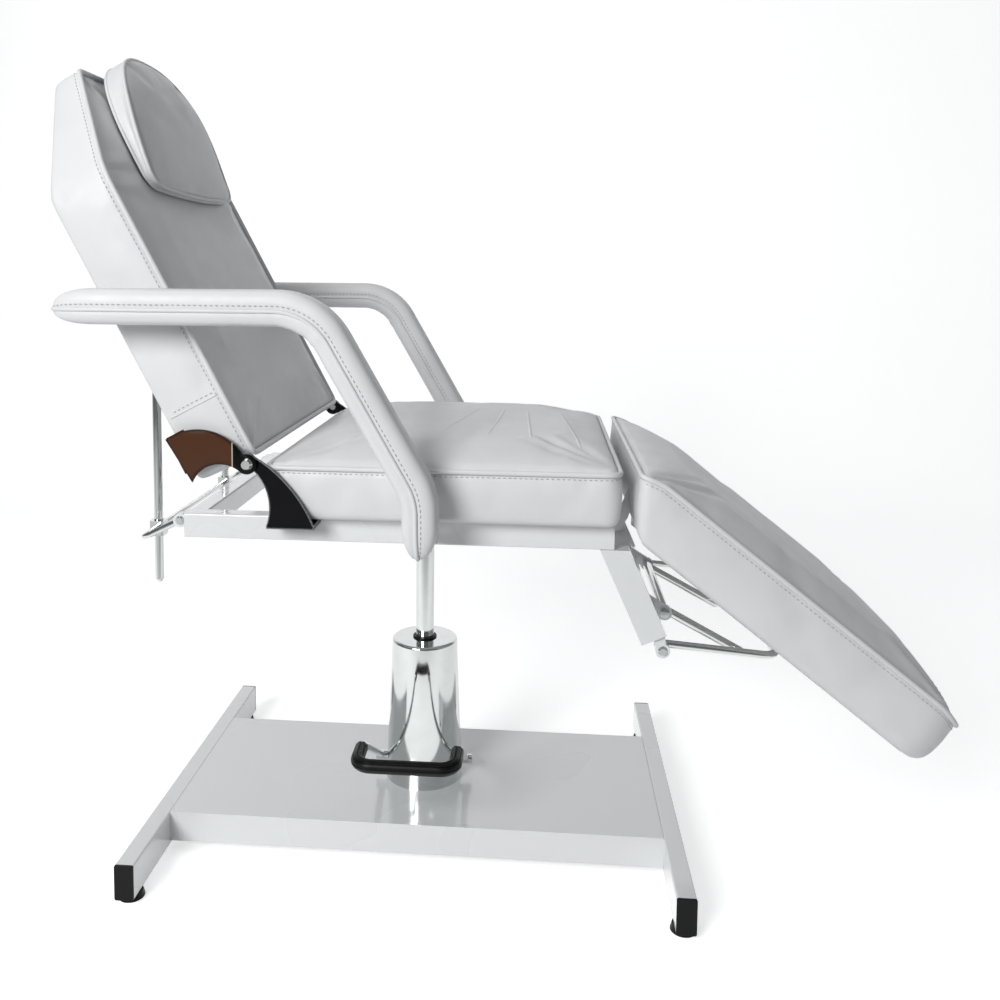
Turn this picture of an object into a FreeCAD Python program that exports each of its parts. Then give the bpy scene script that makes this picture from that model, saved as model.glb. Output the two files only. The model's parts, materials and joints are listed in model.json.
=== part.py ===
"""Beauty treatment chair: hydraulic column on an H base, three padded sections and two armrests.

Millimetres, +Z up, +X towards the foot end, +Y to the sitter's left. The origin is on the floor,
under the middle of the chair's box. Everything is first drawn about the column's axis.
"""
import FreeCAD, Part
import math
import os

Vec = FreeCAD.Vector
X_AXIS = Vec(1, 0, 0)
Y_AXIS = Vec(0, 1, 0)
Z_AXIS = Vec(0, 0, 1)

# Distance from the origin to the column's axis, so that the origin is under the box's middle
COLUMN_X = -129.5

# Base
LEG_SPACING = 844.0
LEG_LENGTH = 650.0
LEG_WIDTH = 30.0
LEG_HEIGHT = 56.0
TUBE_WALL = 2.0
TUBE_CORNER = 3.0
FOOT_RADIUS = 20.0
FOOT_HEIGHT = 10.0
FOOT_INSET = 30.0
CAP_LENGTH = 12.0
BASE_TOP = FOOT_HEIGHT + LEG_HEIGHT
PLATE_WIDTH = 346.0
PLATE_SKIRT = 50.0
PLATE_THICK = 3.0

# Column and pump
ROD_RADIUS = 16.0
ROD_BOTTOM = 228.0
ROD_TOP = 586.0
RUNNING_FIT = 0.05
COVER_BOTTOM_RADIUS = 68.0
COVER_TOP_RADIUS = 58.0
COVER_TOP = 318.0
COVER_WALL = 2.0
FLANGE_RADIUS = 60.0
FLANGE_THICK = 8.0
CYLINDER_RADIUS = 35.0
CYLINDER_TOP = 300.0
CYLINDER_FLOOR = 122.0
COLLAR_RADIUS = 21.0
COLLAR_HEIGHT = 3.0

# Pump pedal
PEDAL_AXIS_Z = 94.0
PEDAL_FRONT_Y = -267.0
PEDAL_FRONT_Z = 212.0
PEDAL_KNEE_Y = -200.0
PEDAL_HALF_WIDTH = 76.5
PEDAL_ROD_RADIUS = 6.0
PEDAL_SLEEVE_RADIUS = 10.5
PEDAL_BEND = 24.0
PEDAL_GROOVES = 8
PEDAL_SHAFT_RADIUS = 8.0

# Seat frame
RAIL_Y = 240.0
RAIL_WIDTH = 30.0
RAIL_BOTTOM = 558.0
RAIL_TOP = 596.0
RAIL_REAR = -345.0
RAIL_FRONT = 312.0
CROSS_TUBE = 30.0
FRONT_CROSS_X = 262.0
DOWN_TUBE_ANGLE = 65.8
DOWN_TUBE_DEPTH = 40.0
DOWN_TUBE_LENGTH = 158.0
DOWN_TUBE_TOP_X = 291.0
COLUMN_PLATE_LENGTH = 190.0
COLUMN_PLATE_THICK = 6.0
SOCKET_RADIUS = 25.0
SOCKET_BOTTOM = 536.0
SOCKET_TOP = 590.0
LUG_RADIUS = 11.0
LUG_WIDTH = 16.0
BOLT_RADIUS = 4.0

# Seat
SEAT_HALF_WIDTH = 295.0
SEAT_REAR = -210.0
SEAT_FRONT = 322.0
SEAT_BOTTOM = 598.0
SEAT_EDGE_TOP = 680.0
SEAT_CROWN = 34.0
BOARD_THICK = 12.0
BOARD_INSET = 18.0
PAD_CORNER = 8.0
PAD_LOW_CORNER = 15.0

# Backrest, drawn lying along +X with its front face at z = 0 and its rear towards +z
BACK_ANGLE = 62.0
BACK_FRONT_CORNER = (-219.0, 696.0)
BACK_LENGTH = 668.0
BACK_THICK = 100.0
BACK_TOP_THICK = 50.0
BACK_TAPER_START = 478.0
BACK_TOP_HALF_WIDTH = 182.0
BACK_CROWN = 11.0
BACK_HINGE = (-230.0, 685.0)
HINGE_PLATE_THICK = 4.0
HINGE_BOLT_RADIUS = 5.0

# Head pillow, in the backrest's own directions
PILLOW_START = 438.0
PILLOW_LENGTH = 250.0
PILLOW_HALF_WIDTH = 196.0
PILLOW_GAP = 3.0
PILLOW_FULL = 0.15
PILLOW_ARCH = 2.6

# Backrest stays
STAY_Y = 170.0
STAY_RADIUS = 7.0
STAY_CLEARANCE = 0.4
STAY_PIVOT = (-419.0, 820.0)
CLAMP_PIVOT = (-419.0, 550.0)
STAY_LOW_END = 464.0
CLAMP_SIZE = 24.0
BAIL_RADIUS = 5.0
REAR_LUG = (-354.0, 582.0)

# Leg rest, drawn along +X with its hinge at the local origin and +z out of its top face
LEG_ANGLE = 38.0
LEG_HINGE = (360.0, 664.0)
LEG_UNDERSIDE = -77.0
LEG_EDGE_TOP = 16.0
LEG_CROWN = 28.0
LEG_END = 588.0
LEG_TOP_START = -23.0
LEG_LOW_START = 42.0
LEG_CORNER = 70.0
LEG_HINGE_Y = 150.0
LEG_PIN_RADIUS = 5.0

# Leg prop and release lever
PROP_PIVOT = (388.0, 404.0)
PROP_LENGTH = 178.0
PROP_DROP = 4.6
PROP_RADIUS = 6.0
PROP_ARM_Y = 214.0
LEVER_PIVOT = (404.0, 424.0)
LEVER_ANGLE = 28.0
LEVER_LENGTH = 142.0
LEVER_RADIUS = 7.0
LEVER_Y = 115.0

# Armrests
ARM_Y = 347.0
ARM_TOP = 917.0
ARM_NOSE_X = -436.0
ARM_BEND_X = -118.0
ARM_BEND_RADIUS = 92.0
ARM_KNEE = (32.0, 656.0)
ARM_KNEE_RADIUS = 90.0
ARM_LOW_END = (33.0, 590.0)
ARM_THICK = 52.0
ARM_WIDTH = 54.0
ARM_CORNER = 15.0
ARM_NOSE_LENGTH = 62.0
ARM_LOW_LENGTH = 27.0
ARM_CORE_RADIUS = 9.0
ARM_STUB_Z = 585.0

parts = {}


def add(name, *solids):
    """Keeps one node, made of one or more separate solids."""
    parts[name] = solids[0] if len(solids) == 1 else Part.makeCompound(list(solids))


def block(x0, x1, y0, y1, z0, z1):
    return Part.makeBox(x1 - x0, y1 - y0, z1 - z0, Vec(x0, y0, z0))


def drum(radius, start, end):
    """A round bar between two points."""
    start, end = Vec(*start), Vec(*end)
    return Part.makeCylinder(radius, (end - start).Length, start, end - start)


def drum_y(radius, centre, y0, y1):
    return drum(radius, (centre[0], y0, centre[1]), (centre[0], y1, centre[1]))


def prism_y(outline, y0, y1):
    """A plate cut to an outline of (x, z) points, from y0 to y1."""
    wire = Part.makePolygon([Vec(x, y0, z) for x, z in outline + outline[:1]])
    return Part.Face(wire).extrude(Vec(0, y1 - y0, 0))


def arc(a, b, c):
    return Part.Arc(Vec(*a), Vec(*b), Vec(*c)).toShape()


def line(a, b):
    return Part.LineSegment(Vec(*a), Vec(*b)).toShape()


def bent_path(points, radii):
    """Straight runs joined by tangent arcs, one radius for each inner point."""
    points = [Vec(*p) for p in points]
    edges = []
    here = points[0]
    for before, corner, after, radius in zip(points, points[1:], points[2:], radii):
        to_before = (before - corner).normalize()
        to_after = (after - corner).normalize()
        half = to_before.getAngle(to_after) / 2
        reach = radius / math.tan(half)
        first = corner + to_before * reach
        last = corner + to_after * reach
        middle_way = (to_before + to_after).normalize()
        middle = corner + middle_way * (radius / math.sin(half) - radius)
        edges.append(Part.LineSegment(here, first).toShape())
        edges.append(Part.Arc(first, middle, last).toShape())
        here = last
    edges.append(Part.LineSegment(here, points[-1]).toShape())
    return edges


def sweep(profile, path):
    """Carries a flat outline along the straight runs and arcs of a bent path."""
    face = Part.Face(profile)
    runs = []
    for edge in path:
        start, end = edge.valueAt(edge.FirstParameter), edge.valueAt(edge.LastParameter)
        after = face.copy()
        if isinstance(edge.Curve, Part.Circle):
            centre = edge.Curve.Center
            turn_axis = (start - centre).cross(end - centre)
            angle = math.degrees((start - centre).getAngle(end - centre))
            runs.append(face.revolve(centre, turn_axis, angle))
            after.rotate(centre, turn_axis, angle)
        else:
            runs.append(face.extrude(end - start))
            after.translate(end - start)
        face = after
    return runs[0].fuse(runs[1:]).removeSplitter()


def bent_rod(points, radii, radius):
    path = bent_path(points, radii)
    start = Vec(*points[0])
    circle = Part.Wire(Part.makeCircle(radius, start, Vec(*points[1]) - start))
    return sweep(circle, path)


def pad_section(x, half_width, low, high, crown, pull, corner, low_corner):
    """One cross-section of a cushion: flat underside, drawn-in sides and a full, crowned top."""
    w, r, q = half_width, corner, low_corner
    bow = 1 - math.sqrt(0.5)
    k, m = r * bow, q * bow
    middle = (low + high) / 2
    right = [((w - q, low), (w - m, low + m), (w, low + q)),
             ((w, low + q), (w - pull, middle), (w, high - r)),
             ((w, high - r), (w - k, high - k), (w - r, high))]
    roll = min(46.0, 0.4 * w)
    bend, level = w - r - 0.35 * (roll - r), high + 0.8 * crown
    right.append(((w - r, high), (bend, high + 0.5 * crown), (w - roll, level)))
    top = ((w - roll, level), (0, high + crown), (roll - w, level))
    left = [tuple((-y, z) for y, z in reversed(points)) for points in reversed(right)]
    edges = [line((x, q - w, low), (x, w - q, low))]
    for curve in right + [top] + left:
        edges.append(arc(*[(x, y, z) for y, z in curve]))
    return Part.Wire(edges)


def pad(stations, pull, corner, low_corner):
    """A cushion lofted through (x, half_width, low, high, crown) stations."""
    sections = [pad_section(*station, pull, corner, low_corner) for station in stations]
    return Part.makeLoft(sections, True, True)


def both_sides(make):
    """The same piece on each side, from a function of the side's sign."""
    return [make(-1), make(1)]


def mirrored(shape):
    return shape.mirror(Vec(0, 0, 0), Y_AXIS)


def add_pair(name, right_piece):
    """A piece at -Y and its mirror image at +Y, as two nodes."""
    add(name + "_right", right_piece)
    add(name + "_left", mirrored(right_piece))


def stand_back(shape):
    """From the backrest's own directions to its place on the chair."""
    shape = shape.copy()
    shape.rotate(Vec(0, 0, 0), Y_AXIS, BACK_ANGLE - 180)
    shape.translate(Vec(BACK_FRONT_CORNER[0], 0, BACK_FRONT_CORNER[1]))
    return shape


def hang_leg(shape):
    """From the leg rest's own directions to its place on the chair."""
    shape = shape.copy()
    shape.rotate(Vec(0, 0, 0), Y_AXIS, LEG_ANGLE)
    shape.translate(Vec(LEG_HINGE[0], 0, LEG_HINGE[1]))
    return shape


def rounded_bar(bar, along):
    """Rounds the four long edges of a rectangular bar."""
    way = {"x": X_AXIS, "y": Y_AXIS}[along]
    return bar.makeFillet(TUBE_CORNER, [e for e in bar.Edges if abs(e.tangentAt(0).dot(way)) > 0.9])


def box_tube(x0, x1, y0, y1, z0, z1, along):
    """A rectangular tube, open at both ends of the axis it runs along."""
    wall = {axis: 0 if axis == along else TUBE_WALL for axis in "xyz"}
    outside = rounded_bar(block(x0, x1, y0, y1, z0, z1), along)
    inside = block(x0 + wall["x"], x1 - wall["x"], y0 + wall["y"], y1 - wall["y"],
                   z0 + wall["z"], z1 - wall["z"])
    return outside.cut(inside)


def make_base():
    half = LEG_LENGTH / 2
    caps = []
    feet = []
    for name, side in (("base_leg_head", -1), ("base_leg_foot", 1)):
        x = side * LEG_SPACING / 2
        x0, x1 = x - LEG_WIDTH / 2, x + LEG_WIDTH / 2
        tube_half = half - 3
        leg = box_tube(x0, x1, -tube_half, tube_half, FOOT_HEIGHT, BASE_TOP, "y")
        for end in (-1, 1):
            foot_y = end * (half - FOOT_INSET)
            stem = drum(5, (x, foot_y, FOOT_HEIGHT), (x, foot_y, FOOT_HEIGHT + 22))
            leg = leg.cut(stem)
            pad_disc = Part.makeCone(FOOT_RADIUS, FOOT_RADIUS - 3, FOOT_HEIGHT, Vec(x, foot_y, 0))
            feet.append(pad_disc.fuse(stem).removeSplitter())
            rim_y = sorted((end * half, end * tube_half))
            rim = rounded_bar(block(x0, x1, *rim_y, FOOT_HEIGHT, BASE_TOP), "y")
            plug_y = sorted((end * tube_half, end * (tube_half - CAP_LENGTH)))
            plug = block(x0 + TUBE_WALL, x1 - TUBE_WALL, *plug_y,
                         FOOT_HEIGHT + TUBE_WALL, BASE_TOP - TUBE_WALL)
            caps.append(rim.fuse(plug).removeSplitter())
        add(name, leg)
    add("leg_end_caps", *caps)
    add("levelling_feet", *feet)

    inner = LEG_SPACING / 2 - LEG_WIDTH / 2
    wide = PLATE_WIDTH / 2
    low = BASE_TOP - PLATE_SKIRT
    tray = block(-inner, inner, -wide, wide, low, BASE_TOP)
    tray = tray.cut(block(-inner, inner, PLATE_THICK - wide, wide - PLATE_THICK,
                          low, BASE_TOP - PLATE_THICK))
    bolt_circle = 48.0
    bolts = []
    flange = drum(FLANGE_RADIUS, (0, 0, BASE_TOP), (0, 0, BASE_TOP + FLANGE_THICK))
    for turn in range(4):
        angle = math.radians(45 + 90 * turn)
        x, y = bolt_circle * math.cos(angle), bolt_circle * math.sin(angle)
        shank = drum(5, (x, y, BASE_TOP - 14), (x, y, BASE_TOP + FLANGE_THICK))
        head = Part.Face(Part.makePolygon(
            [Vec(x + 8 * math.cos(math.radians(60 * k)), y + 8 * math.sin(math.radians(60 * k)),
                 BASE_TOP + FLANGE_THICK) for k in range(7)])).extrude(Vec(0, 0, 6))
        tray = tray.cut(shank)
        flange = flange.cut(shank)
        bolts.append(shank.fuse(head).removeSplitter())
    add("base_plate", tray)
    add("pump_flange", flange)
    add("flange_bolts", *bolts)


def make_column():
    flange_top = BASE_TOP + FLANGE_THICK
    bore = ROD_RADIUS + RUNNING_FIT
    cylinder = drum(CYLINDER_RADIUS, (0, 0, flange_top), (0, 0, CYLINDER_TOP))
    cylinder = cylinder.cut(drum(bore, (0, 0, CYLINDER_FLOOR), (0, 0, CYLINDER_TOP)))
    shaft_hole = drum(PEDAL_SHAFT_RADIUS + RUNNING_FIT,
                      (-COVER_BOTTOM_RADIUS, 0, PEDAL_AXIS_Z), (COVER_BOTTOM_RADIUS, 0, PEDAL_AXIS_Z))
    add("pump_cylinder", cylinder.cut(shaft_hole))

    hole = ROD_RADIUS + 1.5
    rim = 5.0
    under = COVER_TOP - COVER_WALL
    r0, r1 = COVER_BOTTOM_RADIUS, COVER_TOP_RADIUS
    shoulder = rim * math.sqrt(0.5)
    edges = [arc((r1, 0, COVER_TOP - rim), (r1 - rim + shoulder, 0, COVER_TOP - rim + shoulder),
                 (r1 - rim, 0, COVER_TOP))]
    profile = [(r1 - rim, COVER_TOP), (hole, COVER_TOP), (hole, under), (r1 - rim - COVER_WALL, under),
               (r1 - COVER_WALL, under - rim), (r0 - COVER_WALL, BASE_TOP), (r0, BASE_TOP),
               (r1, COVER_TOP - rim)]
    for (ra, za), (rb, zb) in zip(profile, profile[1:]):
        edges.append(line((ra, 0, za), (rb, 0, zb)))
    cover = Part.Face(Part.Wire(edges)).revolve(Vec(0, 0, 0), Z_AXIS, 360)
    clear_hole = drum(PEDAL_SHAFT_RADIUS + 2, (-90, 0, PEDAL_AXIS_Z), (90, 0, PEDAL_AXIS_Z))
    add("column_cover", cover.cut(clear_hole))

    collar = drum(COLLAR_RADIUS, (0, 0, COVER_TOP), (0, 0, COVER_TOP + COLLAR_HEIGHT))
    top_edge = [e for e in collar.Edges if e.CenterOfMass.z > COVER_TOP + COLLAR_HEIGHT - 1]
    collar = collar.makeFillet(1.2, top_edge)
    add("column_collar", collar.cut(drum(bore, (0, 0, COVER_TOP), (0, 0, COVER_TOP + COLLAR_HEIGHT))))

    add("piston_rod", drum(ROD_RADIUS, (0, 0, ROD_BOTTOM), (0, 0, ROD_TOP)))


def make_pedal():
    """A U of rod that rises from a cross shaft, with a grooved rubber sleeve round its level front."""
    w, reach = PEDAL_HALF_WIDTH, PEDAL_HALF_WIDTH + 10
    shaft = drum(PEDAL_SHAFT_RADIUS, (-reach, 0, PEDAL_AXIS_Z), (reach, 0, PEDAL_AXIS_Z))
    side = [(0, PEDAL_AXIS_Z), (PEDAL_KNEE_Y, PEDAL_FRONT_Z), (PEDAL_FRONT_Y, PEDAL_FRONT_Z)]
    route = [(-w, *point) for point in side] + [(w, *point) for point in reversed(side)]
    bar = bent_rod(route, [PEDAL_BEND] * 4, PEDAL_ROD_RADIUS)
    add("pedal_bar", bar.cut(shaft))
    add("pedal_shaft", shaft)
    sleeve_start = PEDAL_KNEE_Y - 9
    front = [(sleeve_start, PEDAL_FRONT_Z), (PEDAL_FRONT_Y, PEDAL_FRONT_Z)]
    sleeve_route = [(-w, *point) for point in front] + [(w, *point) for point in reversed(front)]
    path = bent_path(sleeve_route, [PEDAL_BEND, PEDAL_BEND])
    add("pedal_sleeve", sweep(grooved_circle(sleeve_route[0], sleeve_route[1]), path).cut(bar))


def grooved_circle(centre, ahead):
    """The sleeve's outline, square to its start: a circle with small grooves that run along it."""
    centre, way = Vec(*centre), (Vec(*ahead) - Vec(*centre)).normalize()
    across, upright = X_AXIS, way.cross(X_AXIS)
    step = 2 * math.pi / PEDAL_GROOVES
    groove = 0.14 * step

    def at(angle, radius):
        return centre + across * (radius * math.cos(angle)) + upright * (radius * math.sin(angle))

    edges = []
    for k in range(PEDAL_GROOVES):
        angle = k * step
        bottom = at(angle, PEDAL_SLEEVE_RADIUS - 1.6)
        rim = [at(angle + turn, PEDAL_SLEEVE_RADIUS) for turn in (groove, step / 2, step - groove)]
        after = at(angle + step, PEDAL_SLEEVE_RADIUS - 1.6)
        edges.append(Part.LineSegment(bottom, rim[0]).toShape())
        edges.append(Part.Arc(*rim).toShape())
        edges.append(Part.LineSegment(rim[2], after).toShape())
    return Part.Wire(edges)


def down_tube_point(along, across):
    """A point of the sloping front leg, along it from its top and across it from its rear face."""
    a = math.radians(DOWN_TUBE_ANGLE)
    return (DOWN_TUBE_TOP_X + along * math.cos(a) + across * math.sin(a),
            RAIL_BOTTOM - along * math.sin(a) + across * math.cos(a))


def lower_tube_outline(wall):
    """The tube between the sloping legs' lower ends, shrunk by a wall's thickness."""
    top, bottom, rear, front = 40 - wall, 5 + wall, 5 + wall, 35 - wall
    return [down_tube_point(DOWN_TUBE_LENGTH - along, across)
            for along, across in ((top, rear), (bottom, rear), (bottom, front), (top, front))]


def make_down_tube(y0, y1):
    """A sloping tube, mitred to the rail above it and square at its lower end."""
    mitre = DOWN_TUBE_DEPTH / math.tan(math.radians(DOWN_TUBE_ANGLE))
    wall = TUBE_WALL
    outline = [down_tube_point(0, 0), down_tube_point(DOWN_TUBE_LENGTH, 0),
               down_tube_point(DOWN_TUBE_LENGTH, DOWN_TUBE_DEPTH), down_tube_point(mitre, DOWN_TUBE_DEPTH)]
    hollow = [down_tube_point(4, wall), down_tube_point(DOWN_TUBE_LENGTH - 4, wall),
              down_tube_point(DOWN_TUBE_LENGTH - 4, DOWN_TUBE_DEPTH - wall),
              down_tube_point(mitre + 4, DOWN_TUBE_DEPTH - wall)]
    return prism_y(outline, y0, y1).cut(prism_y(hollow, y0 + wall, y1 - wall))


def make_seat_frame():
    inner, outer = RAIL_Y - RAIL_WIDTH / 2, RAIL_Y + RAIL_WIDTH / 2
    rail = box_tube(RAIL_REAR, RAIL_FRONT, -outer, -inner, RAIL_BOTTOM, RAIL_TOP, "x")
    add_pair("seat_rail", rail)
    plug_depth = 10.0
    plugs = []
    for x0, x1 in ((RAIL_REAR, RAIL_REAR + plug_depth), (RAIL_FRONT - plug_depth, RAIL_FRONT)):
        for y in (-RAIL_Y, RAIL_Y):
            plugs.append(block(x0, x1, y - RAIL_WIDTH / 2 + TUBE_WALL, y + RAIL_WIDTH / 2 - TUBE_WALL,
                               RAIL_BOTTOM + TUBE_WALL, RAIL_TOP - TUBE_WALL))
    add("rail_end_plugs", *plugs)
    add("rear_cross_tube", box_tube(RAIL_REAR, RAIL_REAR + CROSS_TUBE, -inner, inner,
                                    RAIL_BOTTOM, RAIL_TOP, "y"))
    add("front_cross_tube", box_tube(FRONT_CROSS_X, FRONT_CROSS_X + CROSS_TUBE, -inner, inner,
                                     RAIL_BOTTOM, RAIL_TOP, "y"))
    add_pair("down_tube", make_down_tube(-outer, -inner))
    hollow = lower_tube_outline(TUBE_WALL)
    add("lower_cross_tube", prism_y(lower_tube_outline(0), -inner, inner).cut(prism_y(hollow, -inner, inner)))

    half = COLUMN_PLATE_LENGTH / 2
    plate_top = RAIL_BOTTOM + COLUMN_PLATE_THICK
    socket = drum(SOCKET_RADIUS, (0, 0, SOCKET_BOTTOM), (0, 0, SOCKET_TOP))
    plate = block(-half, half, -inner, inner, RAIL_BOTTOM, plate_top)
    add("column_plate", plate.cut(socket))
    bore = drum(ROD_RADIUS + RUNNING_FIT, (0, 0, SOCKET_BOTTOM), (0, 0, ROD_TOP))
    add("column_socket", socket.cut(bore))
    gussets = []
    for side in (-1, 1):
        outline = [(side * SOCKET_RADIUS, plate_top), (side * SOCKET_RADIUS, SOCKET_TOP - 4),
                   (side * (half - 8), plate_top + 8), (side * (half - 8), plate_top)]
        gussets.append(prism_y(outline, -2.5, 2.5))
    add("socket_gussets", *gussets)


def lug(centre, neck, y):
    """A flat eye with a bolt hole and a neck that meets the frame."""
    y0, y1 = y - LUG_WIDTH / 2, y + LUG_WIDTH / 2
    eye = drum_y(LUG_RADIUS, centre, y0, y1).fuse(prism_y(neck, y0, y1))
    return eye.removeSplitter().cut(drum_y(BOLT_RADIUS, centre, y0, y1))


def bolt(centre, y_head, y_end, radius):
    """A button-headed bolt along Y, its head at y_head and its end at y_end."""
    outward = -1 if y_end > y_head else 1
    shank = drum_y(radius, centre, y_head, y_end)
    head = Part.makeCone(radius * 1.9, radius * 1.3, radius, Vec(centre[0], y_head, centre[1]),
                         Vec(0, outward, 0))
    return shank.fuse(head).removeSplitter()


def make_lugs():
    rear_neck = [(RAIL_REAR, REAR_LUG[1] - 9), (RAIL_REAR, REAR_LUG[1] + 9),
                 (REAR_LUG[0], REAR_LUG[1] + 9), (REAR_LUG[0], REAR_LUG[1] - 9)]
    front_neck = [down_tube_point(DOWN_TUBE_LENGTH, 20), down_tube_point(DOWN_TUBE_LENGTH, 38),
                  (PROP_PIVOT[0] + 5, PROP_PIVOT[1] + 2), (PROP_PIVOT[0] - 9, PROP_PIVOT[1] - 4)]
    tubes = [make_down_tube(-RAIL_Y - RAIL_WIDTH / 2, -RAIL_Y + RAIL_WIDTH / 2)]
    tubes.append(mirrored(tubes[0]))
    rear = both_sides(lambda side: lug(REAR_LUG, rear_neck, side * RAIL_Y))
    rail_end = block(RAIL_REAR, RAIL_REAR + 40, -300, 300, RAIL_BOTTOM, RAIL_TOP)
    front = both_sides(lambda side: lug(PROP_PIVOT, front_neck, side * RAIL_Y))
    lugs = [piece.cut(rail_end) for piece in rear]
    lugs += [piece.cut(tube) for piece, tube in zip(front, tubes)]
    add("frame_lugs", *lugs)
    head_y = RAIL_Y + LUG_WIDTH / 2
    end_y = head_y - LUG_WIDTH
    inner_y = PROP_ARM_Y - 8
    rear_bolts = both_sides(lambda side: bolt(REAR_LUG, side * head_y, side * end_y, BOLT_RADIUS))
    front_bolts = both_sides(lambda side: bolt(PROP_PIVOT, side * head_y, side * inner_y, BOLT_RADIUS))
    add("stay_bail_bolts", *rear_bolts)
    add("prop_bolts", *front_bolts)
    return rear


def make_stays(rear_lugs):
    """Two posts hang from the backrest and slide through clamps on a bail behind the seat frame."""
    end_y = STAY_Y + CLAMP_SIZE / 2
    arms = []
    for side, eye in zip((-1, 1), rear_lugs):
        rod = bent_rod([(REAR_LUG[0], side * RAIL_Y, REAR_LUG[1]),
                        (CLAMP_PIVOT[0], side * RAIL_Y, CLAMP_PIVOT[1]),
                        (CLAMP_PIVOT[0], side * (end_y - 6), CLAMP_PIVOT[1])], [16], BAIL_RADIUS)
        core = drum_y(LUG_RADIUS, REAR_LUG, side * RAIL_Y - LUG_WIDTH, side * RAIL_Y + LUG_WIDTH)
        # The rod's end stops inside the clamp's side socket, short of the post
        socket_end = block(CLAMP_PIVOT[0] - 20, CLAMP_PIVOT[0] + 20, 4 - end_y, end_y - 4,
                           CLAMP_PIVOT[1] - 20, CLAMP_PIVOT[1] + 20)
        arms.append(rod.cut(core).cut(eye).cut(socket_end))
    add("stay_bail_arms", *arms)

    half = CLAMP_SIZE / 2
    x, z = CLAMP_PIVOT
    clamps = []
    for side in (-1, 1):
        y = side * STAY_Y
        body = block(x - half, x + half, y - half, y + half, z - half, z + half)
        body = body.makeFillet(4, [e for e in body.Edges if abs(e.tangentAt(0).z) > 0.9])
        body = body.cut(drum(STAY_RADIUS + STAY_CLEARANCE, (x, y, z - half), (x, y, z + half)))
        socket_start = side * end_y
        body = body.cut(drum_y(BAIL_RADIUS + RUNNING_FIT, CLAMP_PIVOT,
                               socket_start - side * 4.2, socket_start))
        clamps.append(body)
    add("stay_clamps", *clamps)
    add("clamp_link_bar", drum_y(BAIL_RADIUS, CLAMP_PIVOT, half - STAY_Y, STAY_Y - half))

    pivot_x, pivot_z = STAY_PIVOT
    crossbar = drum_y(STAY_RADIUS - 1, STAY_PIVOT, -STAY_Y - 16, STAY_Y + 16)
    add("stay_crossbar", crossbar)
    posts = []
    stops = []
    for side in (-1, 1):
        y = side * STAY_Y
        post = drum(STAY_RADIUS, (pivot_x, y, STAY_LOW_END), (pivot_x, y, pivot_z))
        posts.append(post.cut(crossbar))
        stop = Part.makeSphere(STAY_RADIUS - 1, Vec(pivot_x, y, STAY_LOW_END))
        stops.append(stop.cut(post))
    add("stay_posts", *posts)
    add("stay_end_stops", *stops)


def make_seat():
    inset = BOARD_INSET
    board = block(SEAT_REAR + inset, SEAT_FRONT - inset, inset - SEAT_HALF_WIDTH, SEAT_HALF_WIDTH - inset,
                  SEAT_BOTTOM, SEAT_BOTTOM + BOARD_THICK)
    add("seat_board", board)
    w = SEAT_HALF_WIDTH
    low, high = SEAT_BOTTOM, SEAT_EDGE_TOP
    length = SEAT_FRONT - SEAT_REAR
    stations = [(SEAT_REAR, w - 9, low + 14, high - 9, 2), (SEAT_REAR + 4, w - 2, low + 5, high - 2, 5),
                (SEAT_REAR + 14, w, low, high, 14), (SEAT_REAR + 46, w, low, high, 0.75 * SEAT_CROWN),
                (SEAT_REAR + 0.25 * length, w - 1.5, low, high, 0.9 * SEAT_CROWN),
                (SEAT_REAR + 0.55 * length, w - 2, low, high, SEAT_CROWN),
                (SEAT_REAR + 0.82 * length, w - 1, low, high, 0.9 * SEAT_CROWN),
                (SEAT_FRONT - 46, w, low, high, 0.75 * SEAT_CROWN),
                (SEAT_FRONT - 14, w, low, high, 14), (SEAT_FRONT - 4, w - 2, low + 5, high - 2, 5),
                (SEAT_FRONT, w - 9, low + 14, high - 9, 2)]
    add("seat_cushion", pad(stations, 3, PAD_CORNER, PAD_LOW_CORNER).cut(board))
    spacers = []
    for x in (RAIL_REAR + 200, 0.0, FRONT_CROSS_X - 40):
        for side in (-1, 1):
            y = side * RAIL_Y
            spacers.append(block(x - 20, x + 20, y - 12, y + 12, RAIL_TOP, SEAT_BOTTOM))
    add("board_spacers", *spacers)


def back_stations():
    """Widths and thicknesses up the backrest; its rear slopes forward where the plan narrows."""
    w = SEAT_HALF_WIDTH
    taper = BACK_LENGTH - BACK_TAPER_START

    def level(x, inset, crown):
        share = max(0.0, (x - BACK_TAPER_START) / taper)
        width = w - share * (w - BACK_TOP_HALF_WIDTH) - inset
        rear = BACK_THICK - share * (BACK_THICK - BACK_TOP_THICK)
        return (x, width, -(rear - inset), -inset, crown)

    return [level(0, 9, 2), level(4, 2, 4), level(14, 0, 7), level(130, 1.5, BACK_CROWN),
            level(300, 2, BACK_CROWN), level(BACK_TAPER_START, 0, 0.8 * BACK_CROWN),
            level(BACK_LENGTH - 60, 0, 8), level(BACK_LENGTH - 14, 0, 5),
            level(BACK_LENGTH - 4, 2, 4), level(BACK_LENGTH, 9, 2)]


def turned_over(shape):
    """Swaps the front and rear of a pad that was lofted with its top face up."""
    return shape.mirror(Vec(0, 0, 0), Z_AXIS)


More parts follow.
